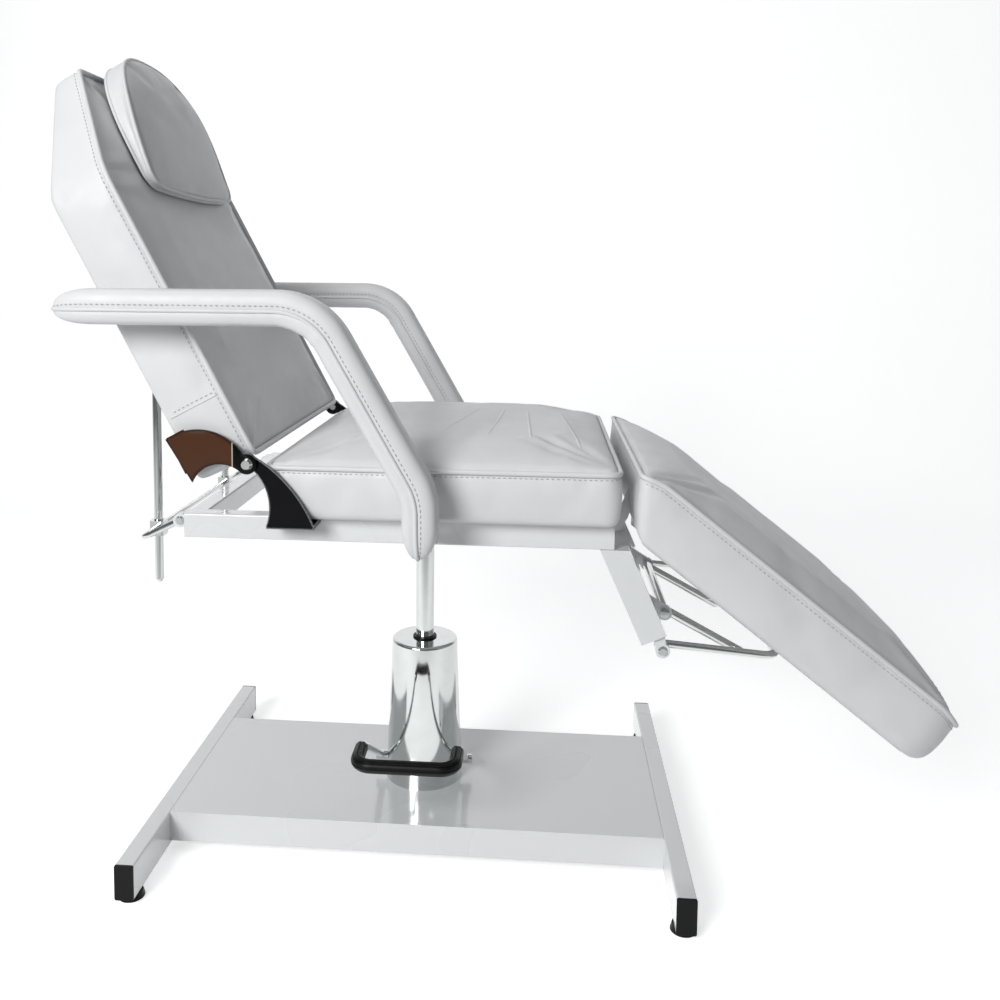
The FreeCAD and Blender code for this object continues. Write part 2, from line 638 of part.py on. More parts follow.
def make_back():
    board = block(BOARD_INSET, BACK_TAPER_START - 20, BOARD_INSET - SEAT_HALF_WIDTH,
                  SEAT_HALF_WIDTH - BOARD_INSET, BACK_THICK - BOARD_THICK, BACK_THICK)
    cushion = turned_over(pad(back_stations(), 3, PAD_CORNER, PAD_CORNER)).cut(board)
    add("back_board", stand_back(board))
    add("back_cushion", stand_back(cushion))

    # The pillow is a wedge, thick at the head, with an arched upper edge
    stations = []
    rows = ((0.0, 9, 1), (0.03, 14, 3), (0.12, 20, 5), (0.34, 28, 8), (0.55, 34, 9), (0.72, 37, 8),
            (0.86, 38, 6), (0.95, 36, 4), (1.0, 28, 1))
    floor = PILLOW_GAP + BACK_CROWN
    for share, thick, crown in rows:
        x = PILLOW_START + share * PILLOW_LENGTH
        rise = max(0.0, (min(share, 0.985) - PILLOW_FULL) / (1 - PILLOW_FULL))
        width = (1 - rise ** PILLOW_ARCH) ** (1 / PILLOW_ARCH) - 0.8 * max(0.0, 0.09 - share)
        stations.append((x, width * PILLOW_HALF_WIDTH, floor, floor + thick, crown))
    pillow = pad(stations, 1, 4, 4)
    add("head_pillow", stand_back(turned_over(pillow)))


def make_pillow_tapes():
    """Two hook-and-loop tapes fill the gap between the pillow and the backrest."""
    tapes = []
    cushion = parts["back_cushion"]
    for side in (-1, 1):
        y = side * 70.0
        tape = block(PILLOW_START + 50, PILLOW_START + 170, y - 20, y + 20, 2, PILLOW_GAP + BACK_CROWN)
        tapes.append(stand_back(turned_over(tape)).cut(cushion))
    add("pillow_tapes", *tapes)


def ring_sector(points_out, points_in, y0, y1):
    """A crescent plate between two arcs, each given by three (x, z) points, closed by straight ends."""
    def at(p):
        return (p[0], y0, p[1])
    a, b = points_out, points_in
    edges = [arc(*map(at, a)), line(at(a[2]), at(b[2])),
             arc(at(b[2]), at(b[1]), at(b[0])), line(at(b[0]), at(a[0]))]
    return Part.Face(Part.Wire(edges)).extrude(Vec(0, y1 - y0, 0))


def make_hinges():
    """Crescent plates at each side: the lower pair on the seat, the upper pair on the backrest."""
    inner_low = -(SEAT_HALF_WIDTH + 3)
    outer_low = inner_low - HINGE_PLATE_THICK
    inner_up = outer_low - 1.5
    outer_up = inner_up - HINGE_PLATE_THICK
    hub = 15.0
    lower = ring_sector(((-224, 698), (-158, 640), (-131, 592)), ((-243, 690), (-201, 640), (-203, 592)),
                        outer_low, inner_low)
    lower = lower.fuse(drum_y(hub, BACK_HINGE, outer_low, inner_low)).removeSplitter()
    foot = block(-203, -131, inner_low, -(RAIL_Y + RAIL_WIDTH / 2), 588, 592 + 2)
    foot = foot.fuse(block(-203, -131, outer_low, inner_low, 588, 594))
    lower = lower.fuse(foot).removeSplitter()
    lower = lower.cut(drum_y(HINGE_BOLT_RADIUS, BACK_HINGE, outer_low, inner_low))
    add("lower_hinge_plates", lower, mirrored(lower))

    upper = ring_sector(((-352, 719), (-296, 735), (-236, 700)), ((-312, 656), (-280, 683), (-238, 672)),
                        outer_up, inner_up)
    upper = upper.fuse(drum_y(hub, BACK_HINGE, outer_up, inner_up)).removeSplitter()
    tab_end = -(RAIL_Y + RAIL_WIDTH / 2 + 8)
    tab_rear = BACK_THICK + HINGE_PLATE_THICK
    tab = block(24, 84, outer_up, tab_end, BACK_THICK, tab_rear)
    web = block(24, 84, outer_up, inner_up, BACK_THICK - 24, tab_rear)
    upper = upper.fuse(stand_back(web)).fuse(stand_back(tab)).removeSplitter()
    upper = upper.cut(drum_y(HINGE_BOLT_RADIUS + RUNNING_FIT, BACK_HINGE, outer_up, inner_up))
    add("upper_hinge_plates", upper, mirrored(upper))

    pin = bolt(BACK_HINGE, outer_up - 0.5, inner_low, HINGE_BOLT_RADIUS)
    add("hinge_bolts", pin, mirrored(pin))


def make_post_lugs():
    """Ears on the back board that carry the stays' crossbar."""
    ears = []
    x, z = STAY_PIVOT
    a = math.radians(180 - BACK_ANGLE)
    up = (math.cos(a), math.sin(a))
    rear = (-math.sin(a), math.cos(a))
    root = 12.0
    for y in (-130.0, 130.0):
        neck = [(x + up[0] * k + rear[0] * d, z + up[1] * k + rear[1] * d)
                for k, d in ((-11, 0), (11, 0), (16, -root), (-16, -root))]
        foot = [(x + up[0] * k + rear[0] * d, z + up[1] * k + rear[1] * d)
                for k, d in ((-26, -root), (26, -root), (26, -root - 30), (-26, -root - 30))]
        ear = drum_y(11, STAY_PIVOT, y - 3, y + 3).fuse(prism_y(neck, y - 3, y + 3))
        ear = ear.fuse(prism_y(foot, y - 12, y + 12)).removeSplitter()
        ear = ear.cut(parts["back_board"]).cut(parts["back_cushion"])
        ears.append(ear.cut(drum_y(STAY_RADIUS - 1 + RUNNING_FIT, STAY_PIVOT, y - 4, y + 4)))
    add("stay_ears", *ears)


def make_leg_rest():
    low, high = LEG_UNDERSIDE, LEG_EDGE_TOP
    w = SEAT_HALF_WIDTH
    board = block(LEG_LOW_START + 16, LEG_END - 60, 20 - w, w - 20, low, low + BOARD_THICK)
    stations = [(LEG_TOP_START, w - 9, low, high - 20, 2), (LEG_TOP_START + 4, w - 2, low, high - 12, 4),
                (LEG_TOP_START + 14, w, low, high - 7, 7), (LEG_TOP_START + 34, w, low, high - 2, 11),
                (LEG_TOP_START + 60, w, low, high, 15), (140, w - 1.5, low, high, LEG_CROWN),
                (330, w - 2, low, high, LEG_CROWN),
                (LEG_END - LEG_CORNER - 40, w, low, high, 0.8 * LEG_CROWN)]
    for degrees, rise in ((20, 0), (40, 0), (58, 1), (72, 3), (84, 8), (90, 14)):
        t = math.radians(degrees)
        x = LEG_END - LEG_CORNER + LEG_CORNER * math.sin(t)
        half_width = w - LEG_CORNER + LEG_CORNER * math.cos(t)
        stations.append((x, half_width, low + 1.6 * rise, high - rise, max(2, 12 - rise)))
    cushion = pad(stations, 3, PAD_CORNER, PAD_LOW_CORNER)
    # The end beside the seat slopes under, so that it stands upright when the leg rest hangs
    wedge = prism_y([(LEG_TOP_START - 40, high - 12), (LEG_TOP_START, high - 12), (LEG_LOW_START, low - 20),
                     (LEG_TOP_START - 40, low - 20)], -w - 10, w + 10)
    cushion = cushion.cut(wedge).cut(board)
    # Each hinge ear runs slantwise from its pin to the board, in a recess of its own
    recess_outline = [(LEG_TOP_START - 40, 9), (14, 9), (76, low - 1), (LEG_TOP_START - 40, low - 1)]
    strap_outline = [(-8, -5), (6, 7), (64, low), (64, low - 4), (44, low - 4)]
    knuckles = []
    for side in (-1, 1):
        y = side * LEG_HINGE_Y
        y0, y1 = sorted((y + side * 3.3, y + side * 9.3))
        cushion = cushion.cut(prism_y(recess_outline, y - 24, y + 24))
        plate = block(LEG_LOW_START + 16, LEG_LOW_START + 60, y - 20, y + 20, low - 4, low)
        knuckle = drum_y(9, (0, 0), y0, y1).fuse(prism_y(strap_outline, y0, y1)).fuse(plate)
        knuckle = knuckle.removeSplitter().cut(board)
        knuckles.append(hang_leg(knuckle.cut(drum_y(LEG_PIN_RADIUS + RUNNING_FIT, (0, 0), y0, y1))))
    add("leg_board", hang_leg(board))
    add("leg_cushion", hang_leg(cushion))
    add("leg_hinge_ears", *knuckles)


def make_leg_brackets():
    """Uprights on the front cross tube that hold the leg rest's hinge pins."""
    x, z = LEG_HINGE
    face = FRONT_CROSS_X + CROSS_TUBE
    foot_low, foot_high = RAIL_BOTTOM + 4, RAIL_TOP - 4
    brackets = []
    pins = []
    for side in (-1, 1):
        y = side * LEG_HINGE_Y
        outline = [(face, foot_low), (face + 36, foot_low), (face + 48, foot_low + 20), (x + 6, z - 9),
                   (x - 9, z - 2), (x - 10, z - 12), (face + 34, foot_high), (face, foot_high)]
        arm = prism_y(outline, y - 3, y + 3)
        arm = arm.fuse(drum_y(9, LEG_HINGE, y - 3, y + 3)).removeSplitter()
        brackets.append(arm.cut(drum_y(LEG_PIN_RADIUS, LEG_HINGE, y - 3, y + 3)))
        pins.append(drum_y(LEG_PIN_RADIUS, LEG_HINGE, *sorted((y - side * 5, y + side * 12))))
    add("leg_hinge_brackets", *brackets)
    add("leg_hinge_pins", *pins)


def make_leg_prop():
    """A U-shaped bail under the leg rest, on bolts at the down tubes' lower ends."""
    drop = math.radians(PROP_DROP)
    tip = (PROP_PIVOT[0] + PROP_LENGTH * math.cos(drop), PROP_PIVOT[1] - PROP_LENGTH * math.sin(drop))
    y = PROP_ARM_Y
    bail = bent_rod([(PROP_PIVOT[0], -y, PROP_PIVOT[1]), (tip[0], -y, tip[1]),
                     (tip[0], y, tip[1]), (PROP_PIVOT[0], y, PROP_PIVOT[1])], [24, 24], PROP_RADIUS)
    eyes = both_sides(lambda side: drum_y(10, PROP_PIVOT, side * y - 5, side * y + 5))
    for eye in eyes:
        bail = bail.fuse(eye)
    bail = bail.removeSplitter()
    for side in (-1, 1):
        bail = bail.cut(drum_y(BOLT_RADIUS + RUNNING_FIT, PROP_PIVOT, side * y - 8, side * y + 8))
    add("leg_prop_bail", bail)


def make_release_lever():
    """Two lever rods on a cross shaft, held by ears on the lower cross tube."""
    x, z = LEVER_PIVOT
    a = math.radians(LEVER_ANGLE)
    way = (math.cos(a), -math.sin(a))
    shaft = drum_y(8, LEVER_PIVOT, -LEVER_Y - 26, LEVER_Y + 26)
    add("release_shaft", shaft)
    levers = []
    for side in (-1, 1):
        y = side * LEVER_Y
        end = (x + LEVER_LENGTH * way[0], y, z + LEVER_LENGTH * way[1])
        rod = drum(LEVER_RADIUS, (x, y, z), end)
        rod = rod.fuse(Part.makeSphere(LEVER_RADIUS, Vec(*end))).removeSplitter()
        levers.append(rod.cut(shaft))
    add("release_levers", *levers)
    ears = []
    for side in (-1, 1):
        y = side * (LEVER_Y + 18)
        root = [down_tube_point(DOWN_TUBE_LENGTH - k, 30) for k in (8, 36)]
        outline = [root[0], (x - 4, z - 11), (x + 6, z + 9), root[1]]
        ear = drum_y(12, LEVER_PIVOT, y - 4, y + 4).fuse(prism_y(outline, y - 4, y + 4)).removeSplitter()
        ear = ear.cut(prism_y(lower_tube_outline(0), y - 10, y + 10))
        ears.append(ear.cut(drum_y(8 + RUNNING_FIT, LEVER_PIVOT, y - 6, y + 6)))
    add("release_ears", *ears)


def arm_route(y):
    """The armrest's centre line: level, bent down, then turned upright beside the seat."""
    return [(ARM_NOSE_X, y, ARM_TOP), (ARM_BEND_X, y, ARM_TOP), (ARM_KNEE[0], y, ARM_KNEE[1]),
            (ARM_LOW_END[0], y, ARM_LOW_END[1])]


def arm_section(x, y, z, shrink):
    """A rounded oblong across the armrest."""
    w, h, r = ARM_WIDTH / 2 - shrink, ARM_THICK / 2 - shrink, ARM_CORNER - shrink * 0.62
    k = r * (1 - math.sqrt(0.5))
    corners = [((w - r, -h), (w - k, k - h), (w, r - h)), ((w, h - r), (w - k, h - k), (w - r, h)),
               ((r - w, h), (k - w, h - k), (-w, h - r)), ((-w, r - h), (k - w, k - h), (r - w, -h))]
    edges = []
    for here, after in zip(corners, corners[1:] + corners[:1]):
        edges.append(arc(*[(x, y + a, z + b) for a, b in here]))
        edges.append(line((x, y + here[2][0], z + here[2][1]), (x, y + after[0][0], z + after[0][1])))
    return Part.Wire(edges)


def arm_taper(length):
    """Steps of a rounded tip: distances from the full section, and how far the section has shrunk."""
    steps = []
    for degrees in (0, 25, 48, 66, 80):
        t = math.radians(degrees)
        steps.append((length * math.sin(t), (1 - math.cos(t)) * 0.9 * ARM_THICK / 2))
    return steps


def make_armrests():
    y = -ARM_Y
    route = arm_route(y)
    path = bent_path(route, [ARM_BEND_RADIUS, ARM_KNEE_RADIUS])
    sleeve = sweep(arm_section(ARM_NOSE_X, y, ARM_TOP, 0), path)
    low_x, low_z = ARM_LOW_END
    nose = [arm_section(ARM_NOSE_X - reach, y, ARM_TOP, shrink)
            for reach, shrink in arm_taper(ARM_NOSE_LENGTH)]
    low_tip = [arm_section(0, y, 0, shrink) for reach, shrink in arm_taper(ARM_LOW_LENGTH)]
    for section, (reach, shrink) in zip(low_tip, arm_taper(ARM_LOW_LENGTH)):
        section.rotate(Vec(0, y, 0), Y_AXIS, -90)
        section.translate(Vec(low_x, 0, low_z - reach))
    sleeve = sleeve.fuse([Part.makeLoft(nose, True, True), Part.makeLoft(low_tip, True, True)])
    sleeve = sleeve.removeSplitter()
    core_route = arm_route(y)
    core_route[0] = (ARM_NOSE_X + 20, y, ARM_TOP)
    core_route[-1] = (ARM_LOW_END[0], y, ARM_STUB_Z - 11)
    core = bent_rod(core_route, [ARM_BEND_RADIUS, ARM_KNEE_RADIUS], ARM_CORE_RADIUS)
    rail_face = -(RAIL_Y + RAIL_WIDTH / 2)
    stub = drum_y(ARM_CORE_RADIUS - 1, (ARM_LOW_END[0], ARM_STUB_Z), y, rail_face - 5)
    add_pair("armrest_pad", sleeve.cut(core.fuse(stub)))
    core = core.cut(stub)
    add("armrest_cores", core, mirrored(core))
    add("armrest_stubs", stub, mirrored(stub))
    x = ARM_LOW_END[0]
    plate = block(x - 29, x + 12, rail_face - 5, rail_face, RAIL_BOTTOM + 2, RAIL_TOP - 1)
    screws = []
    for side in (-1, 1):
        centre = (x - 19, (RAIL_BOTTOM + RAIL_TOP) / 2 + side * 9)
        screw = bolt(centre, rail_face - 5, rail_face, BOLT_RADIUS)
        plate = plate.cut(drum_y(BOLT_RADIUS, centre, rail_face - 5, rail_face))
        screws += [screw, mirrored(screw)]
    add("armrest_brackets", plate, mirrored(plate))
    add("armrest_screws", *screws)


make_base()
make_column()
make_pedal()
make_seat_frame()
make_stays(make_lugs())
make_seat()
make_back()
make_pillow_tapes()
make_hinges()
make_post_lugs()
make_leg_rest()
make_leg_brackets()
make_leg_prop()
make_release_lever()
make_armrests()

os.makedirs("parts", exist_ok=True)
for node_name, shape in parts.items():
    shape.translate(Vec(COLUMN_X, 0, 0))
    shape.exportStep("parts/" + node_name + ".step")
whole = Part.makeCompound(list(parts.values())).BoundBox
print("nodes", len(parts), "box", [round(v, 2) for v in (whole.XMin, whole.XMax, whole.YMin, whole.YMax,
                                                          whole.ZMin, whole.ZMax)])
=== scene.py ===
"""Looks of the beauty treatment chair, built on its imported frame.

Metres, in the frame of the CAD model: +Z up, +X towards the foot end, +Y to the sitter's left.
The padded pieces are sewn covers: a crowned face, a boxing band and an underside, swelled as cloth
between seams that stay put, then given piping and stitches.
"""
import json
import math

import bpy
import numpy as np
from mathutils import Matrix, Vector, kdtree, noise
from mathutils.bvhtree import BVHTree


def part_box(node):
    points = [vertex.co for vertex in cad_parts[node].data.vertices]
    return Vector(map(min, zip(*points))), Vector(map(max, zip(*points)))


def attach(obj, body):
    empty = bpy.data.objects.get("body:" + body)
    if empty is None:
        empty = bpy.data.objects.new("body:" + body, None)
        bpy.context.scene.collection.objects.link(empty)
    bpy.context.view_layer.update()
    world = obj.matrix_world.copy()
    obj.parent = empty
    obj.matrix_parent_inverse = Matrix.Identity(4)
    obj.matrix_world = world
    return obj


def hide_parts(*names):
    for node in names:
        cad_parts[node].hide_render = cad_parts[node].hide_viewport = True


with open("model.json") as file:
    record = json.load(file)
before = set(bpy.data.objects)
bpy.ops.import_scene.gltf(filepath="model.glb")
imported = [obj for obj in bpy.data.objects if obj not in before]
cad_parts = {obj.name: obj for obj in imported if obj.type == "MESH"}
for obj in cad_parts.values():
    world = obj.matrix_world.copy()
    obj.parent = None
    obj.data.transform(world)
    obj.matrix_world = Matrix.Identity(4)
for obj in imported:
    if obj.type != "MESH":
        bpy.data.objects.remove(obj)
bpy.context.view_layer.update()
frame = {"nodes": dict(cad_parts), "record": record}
nodes = frame["nodes"]

rod_low, rod_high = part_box("piston_rod")
COLUMN_X = (rod_low.x + rod_high.x) / 2
SIDES = ((-1, "right"), (1, "left"))
HALF_WIDTH = 0.295
# The covers' mesh, and how far their seams lie inside the plain cushions' edges
PAD_SPACING = 0.0065
COVER_INSET = 0.004
# The boards stand this far out of the covers stapled round them
BOARD_PROUD = 0.0015
SEAM_DEPTH = 0.0026
BAND_BULGE = 0.0022
PIPE_RADIUS = 0.0040
STITCH_LIFT = 0.0002
# A direction that no seam follows, to set a tube's spokes by
OFF_AXIS = (0.31, 0.17, 0.94)
SWELL_FRAMES = 14

# Backrest and leg rest: hang points beside the column, and slopes from the level
HINGE_X = COLUMN_X - 0.230
BACK_ANGLE = math.radians(62)
BACK_CORNER = Vector((COLUMN_X - 0.219, 0, 0.696))
BACK_LENGTH = 0.668
BACK_TAPER_START = 0.478
BACK_TOP_HALF_WIDTH = 0.182
BACK_THICK = 0.100
BACK_TOP_THICK = 0.050
BACK_JOINT = 0.107
# Where the upper hinge plates turn black, with a painted pale reflection line along it
BLACK_EDGE_AND_GLINT_X = HINGE_X - 0.0212
LEG_ANGLE = math.radians(38)
LEG_HINGE = Vector((COLUMN_X + 0.360, 0, 0.664))
LEG_END = 0.588
LEG_TOP_START = -0.023
LEG_LOW_START = 0.042
LEG_EDGE_TOP = 0.016
LEG_UNDERSIDE = -0.077

# Folds across the seat: place along it, slant, both ends and width
SEAT_FOLDS = (
    (COLUMN_X + 0.068, 0.16, -0.16, 0.14, 0.004),
    (COLUMN_X + 0.128, 0.06, -0.18, 0.12, 0.003),
    (COLUMN_X + 0.180, -0.03, -0.20, 0.10, 0.003),
    (COLUMN_X + 0.244, -0.09, -0.21, 0.08, 0.003),
    (COLUMN_X - 0.020, 0.35, -0.24, -0.02, 0.006),
)

# Head pillow, along the backrest from its lower end
PILLOW_START = 0.438
PILLOW_LENGTH = 0.250
PILLOW_HALF_WIDTH = 0.196
PILLOW_FLOOR = 0.014
PILLOW_FULL = 0.15
PILLOW_ARCH = 2.6

# Armrest centre line, beside the column
ARM_Y = 0.347
ARM_WIDTH = 0.054
ARM_THICK = 0.052
ARM_SEAM_DROP = 0.030
ARM_POINTS = ((-0.436, 0.917), (-0.118, 0.917), (0.032, 0.656), (0.033, 0.590))
ARM_RADII = (0.092, 0.090)
ARM_NOSE = 0.061
ARM_LOW_TIP = 0.027


class Place:
    """Directions of a pad: along its length, across it to +Y, and out of its face."""

    def __init__(self, origin, along, out):
        self.origin = np.array(origin)
        self.along = np.array(along)
        self.out = np.array(out)

    def at(self, a, b, h):
        a, b, h = (np.asarray(v, float)[..., None] for v in (a, b, h))
        return self.origin + a * self.along + b * np.array((0, 1, 0)) + h * self.out


seat_low, seat_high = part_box("seat_cushion")
SEAT = Place((seat_low.x, 0, 0), (1, 0, 0), (0, 0, 1))
BACK = Place(BACK_CORNER, (-math.cos(BACK_ANGLE), 0, math.sin(BACK_ANGLE)),
             (math.sin(BACK_ANGLE), 0, math.cos(BACK_ANGLE)))
LEG = Place(LEG_HINGE, (math.cos(LEG_ANGLE), 0, -math.sin(LEG_ANGLE)),
            (math.sin(LEG_ANGLE), 0, math.cos(LEG_ANGLE)))


def smooth_step(x, low, high):
    t = np.clip((np.asarray(x, float) - low) / (high - low), 0, 1)
    return t * t * (3 - 2 * t)


# Materials

def new_material(name):
    material = bpy.data.materials.new(name)
    material.use_nodes = True
    tree = material.node_tree
    return material, tree, tree.nodes["Principled BSDF"]


def link(tree, source, target):
    tree.links.new(source, target)


def object_coords(tree):
    return tree.nodes.new("ShaderNodeTexCoord").outputs["Object"]


def axes(tree):
    """The place on an object as three numbers, X, Y and Z."""
    split = tree.nodes.new("ShaderNodeSeparateXYZ")
    link(tree, object_coords(tree), split.inputs["Vector"])
    return split.outputs


def combined(tree, operation, first, second=None):
    """The result of a maths node with one or two inputs."""
    node = tree.nodes.new("ShaderNodeMath")
    node.operation = operation
    link(tree, first, node.inputs[0])
    if second is not None:
        link(tree, second, node.inputs[1])
    return node.outputs["Value"]


def noise_node(tree, scale, detail):
    node = tree.nodes.new("ShaderNodeTexNoise")
    node.inputs["Scale"].default_value = scale
    node.inputs["Detail"].default_value = detail
    link(tree, object_coords(tree), node.inputs["Vector"])
    return node


def ramp_value(tree, source, low, high, out_low, out_high):
    node = tree.nodes.new("ShaderNodeMapRange")
    for socket, value in zip(("From Min", "From Max", "To Min", "To Max"), (low, high, out_low, out_high)):
        node.inputs[socket].default_value = value
    link(tree, source, node.inputs["Value"])
    return node.outputs["Result"]


def mix_colours(tree, factor, first, second):
    node = tree.nodes.new("ShaderNodeMix")
    node.data_type = "RGBA"
    node.inputs["A"].default_value = (*first, 1)
    node.inputs["B"].default_value = (*second, 1)
    link(tree, factor, node.inputs["Factor"])
    return node.outputs["Result"]


def laid_over(tree, factor, shade, colour):
    """A plain colour laid over a shade by a factor."""
    node = tree.nodes.new("ShaderNodeMix")
    node.data_type = "RGBA"
    link(tree, shade, node.inputs["A"])
    node.inputs["B"].default_value = (*colour, 1)
    link(tree, factor, node.inputs["Factor"])
    return node.outputs["Result"]


def bump(tree, height, strength, distance, under=None):
    node = tree.nodes.new("ShaderNodeBump")
    node.inputs["Strength"].default_value = strength
    node.inputs["Distance"].default_value = distance
    link(tree, height, node.inputs["Height"])
    if under is not None:
        link(tree, under, node.inputs["Normal"])
    return node.outputs["Normal"]


def worn_edges(tree, radius):
    """Bright where the surface turns sharply, from the difference of two normals."""
    bevel = tree.nodes.new("ShaderNodeBevel")
    bevel.samples = 4
    bevel.inputs["Radius"].default_value = radius
    geometry = tree.nodes.new("ShaderNodeNewGeometry")
    dot = tree.nodes.new("ShaderNodeVectorMath")
    dot.operation = "DOT_PRODUCT"
    link(tree, bevel.outputs["Normal"], dot.inputs[0])
    link(tree, geometry.outputs["Normal"], dot.inputs[1])
    return ramp_value(tree, dot.outputs["Value"], 0.99, 0.8, 0, 1), bevel.outputs["Normal"]


def crease_line(tree, x, slant, y_low, y_high, width):
    """A narrow fold across the seat: 1 along a slanted line between two ends, 0 away from it."""
    place = axes(tree)
    lean = tree.nodes.new("ShaderNodeMath")
    lean.operation = "MULTIPLY_ADD"
    link(tree, place["Y"], lean.inputs[0])
    lean.inputs[1].default_value = -slant
    link(tree, place["X"], lean.inputs[2])
    value = ramp_value(tree, lean.outputs["Value"], x - width, x, 0, 1)
    fall = ramp_value(tree, lean.outputs["Value"], x, x + width, 1, 0)
    start = ramp_value(tree, place["Y"], y_low, y_low + 0.04, 0, 1)
    stop = ramp_value(tree, place["Y"], y_high - 0.06, y_high, 1, 0)
    for factor in (fall, start, stop):
        value = combined(tree, "MULTIPLY", value, factor)
    return value


def make_vinyl(name, creases=()):
    """White upholstery vinyl: pebbled grain, faint mottling, a soft sheen and any sharp folds."""
    material, tree, shader = new_material(name)
    mottle = noise_node(tree, 9, 4)
    tone = ramp_value(tree, mottle.outputs["Fac"], 0.35, 0.65, 0, 1)
    link(tree, mix_colours(tree, tone, (0.69, 0.70, 0.715), (0.73, 0.735, 0.745)),
         shader.inputs["Base Color"])
    pebbles = tree.nodes.new("ShaderNodeTexVoronoi")
    pebbles.feature = "DISTANCE_TO_EDGE"
    pebbles.inputs["Scale"].default_value = 850
    link(tree, object_coords(tree), pebbles.inputs["Vector"])
    grain = ramp_value(tree, pebbles.outputs["Distance"], 0.0, 0.25, 0, 1)
    soft = noise_node(tree, 60, 3)
    lumps = bump(tree, soft.outputs["Fac"], 0.10, 0.0015)
    for fold in creases:
        lumps = bump(tree, crease_line(tree, *fold), 0.8, 0.0016, lumps)
    link(tree, bump(tree, grain, 0.22, 0.0003, lumps), shader.inputs["Normal"])
    link(tree, ramp_value(tree, soft.outputs["Fac"], 0.3, 0.7, 0.36, 0.5), shader.inputs["Roughness"])
    shader.inputs["Specular IOR Level"].default_value = 0.42
    shader.inputs["Coat Weight"].default_value = 0.06
    shader.inputs["Coat Roughness"].default_value = 0.35
    return material


def make_thread():
    """Pale sewing thread with a fine twist."""
    material, tree, shader = new_material("sewing_thread")
    twist = tree.nodes.new("ShaderNodeTexWave")
    twist.inputs["Scale"].default_value = 900
    link(tree, object_coords(tree), twist.inputs["Vector"])
    link(tree, mix_colours(tree, twist.outputs["Fac"], (0.40, 0.41, 0.42), (0.56, 0.57, 0.58)),
         shader.inputs["Base Color"])
    link(tree, bump(tree, twist.outputs["Fac"], 0.3, 0.0002), shader.inputs["Normal"])
    shader.inputs["Roughness"].default_value = 0.7
    return material


def make_paint(name, dark, light, roughness, peel):
    """Baked paint: a slight orange peel and a faint change of tone and gloss."""
    material, tree, shader = new_material(name)
    cloud = noise_node(tree, 5, 1)
    link(tree, mix_colours(tree, cloud.outputs["Fac"], dark, light), shader.inputs["Base Color"])
    fine = noise_node(tree, 420, 2)
    link(tree, bump(tree, fine.outputs["Fac"], peel, 0.0006), shader.inputs["Normal"])
    link(tree, ramp_value(tree, cloud.outputs["Fac"], 0.3, 0.7, roughness * 0.93, roughness * 1.07),
         shader.inputs["Roughness"])
    shader.inputs["Coat Weight"].default_value = 1.0
    shader.inputs["Coat Roughness"].default_value = 0.07
    return material


def make_bordered(name, colour, border, width, black_end=False):
    """Gloss enamel on a cut plate, with a border of another tone along its edges.

    The upper hinge plates are black round their bolt, from a line beside it, along which a pale painted
    reflection of the seat's edge is laid.
    """
    material, tree, shader = new_material(name)
    edges, rounded = worn_edges(tree, width)
    cloud = noise_node(tree, 40, 4)
    shade = mix_colours(tree, edges, colour, border)
    if black_end:
        x = axes(tree)["X"]
        beside = ramp_value(tree, x, BLACK_EDGE_AND_GLINT_X - 0.0003, BLACK_EDGE_AND_GLINT_X + 0.0007, 0, 1)
        shade = laid_over(tree, beside, shade, border)
        # Painted reflection: a thin pale line laid across the plate beside its black end, standing in for
        # the gloss reflection of the seat's edge
        rise = ramp_value(tree, x, BLACK_EDGE_AND_GLINT_X - 0.0010, BLACK_EDGE_AND_GLINT_X - 0.0005, 0, 1)
        fall = ramp_value(tree, x, BLACK_EDGE_AND_GLINT_X + 0.0005, BLACK_EDGE_AND_GLINT_X + 0.0010, 1, 0)
        shade = laid_over(tree, combined(tree, "MULTIPLY", rise, fall), shade, (0.55, 0.50, 0.45))
    link(tree, shade, shader.inputs["Base Color"])
    link(tree, ramp_value(tree, cloud.outputs["Fac"], 0.3, 0.7, 0.10, 0.2), shader.inputs["Roughness"])
    link(tree, bump(tree, cloud.outputs["Fac"], 0.03, 0.0006, rounded), shader.inputs["Normal"])
    shader.inputs["Specular IOR Level"].default_value = 0.14
    return material


def make_chrome():
    """Bright plate with faint polishing streaks and a little haze."""
    material, tree, shader = new_material("chrome")
    haze = noise_node(tree, 35, 6)
    streaks = noise_node(tree, 700, 2)
    link(tree, mix_colours(tree, haze.outputs["Fac"], (0.58, 0.605, 0.595), (0.70, 0.72, 0.71)),
         shader.inputs["Base Color"])
    shader.inputs["Metallic"].default_value = 1
    link(tree, ramp_value(tree, haze.outputs["Fac"], 0.3, 0.75, 0.05, 0.16), shader.inputs["Roughness"])
    link(tree, bump(tree, streaks.outputs["Fac"], 0.02, 0.0002), shader.inputs["Normal"])
    return material


def make_steel():
    """Turned or rolled steel, fine lines round it."""
    material, tree, shader = new_material("steel")
    lines = noise_node(tree, 260, 3)
    link(tree, mix_colours(tree, lines.outputs["Fac"], (0.42, 0.42, 0.43), (0.60, 0.60, 0.61)),
         shader.inputs["Base Color"])
    shader.inputs["Metallic"].default_value = 1
    link(tree, ramp_value(tree, lines.outputs["Fac"], 0.3, 0.7, 0.25, 0.42), shader.inputs["Roughness"])
    link(tree, bump(tree, lines.outputs["Fac"], 0.05, 0.0003), shader.inputs["Normal"])
    return material


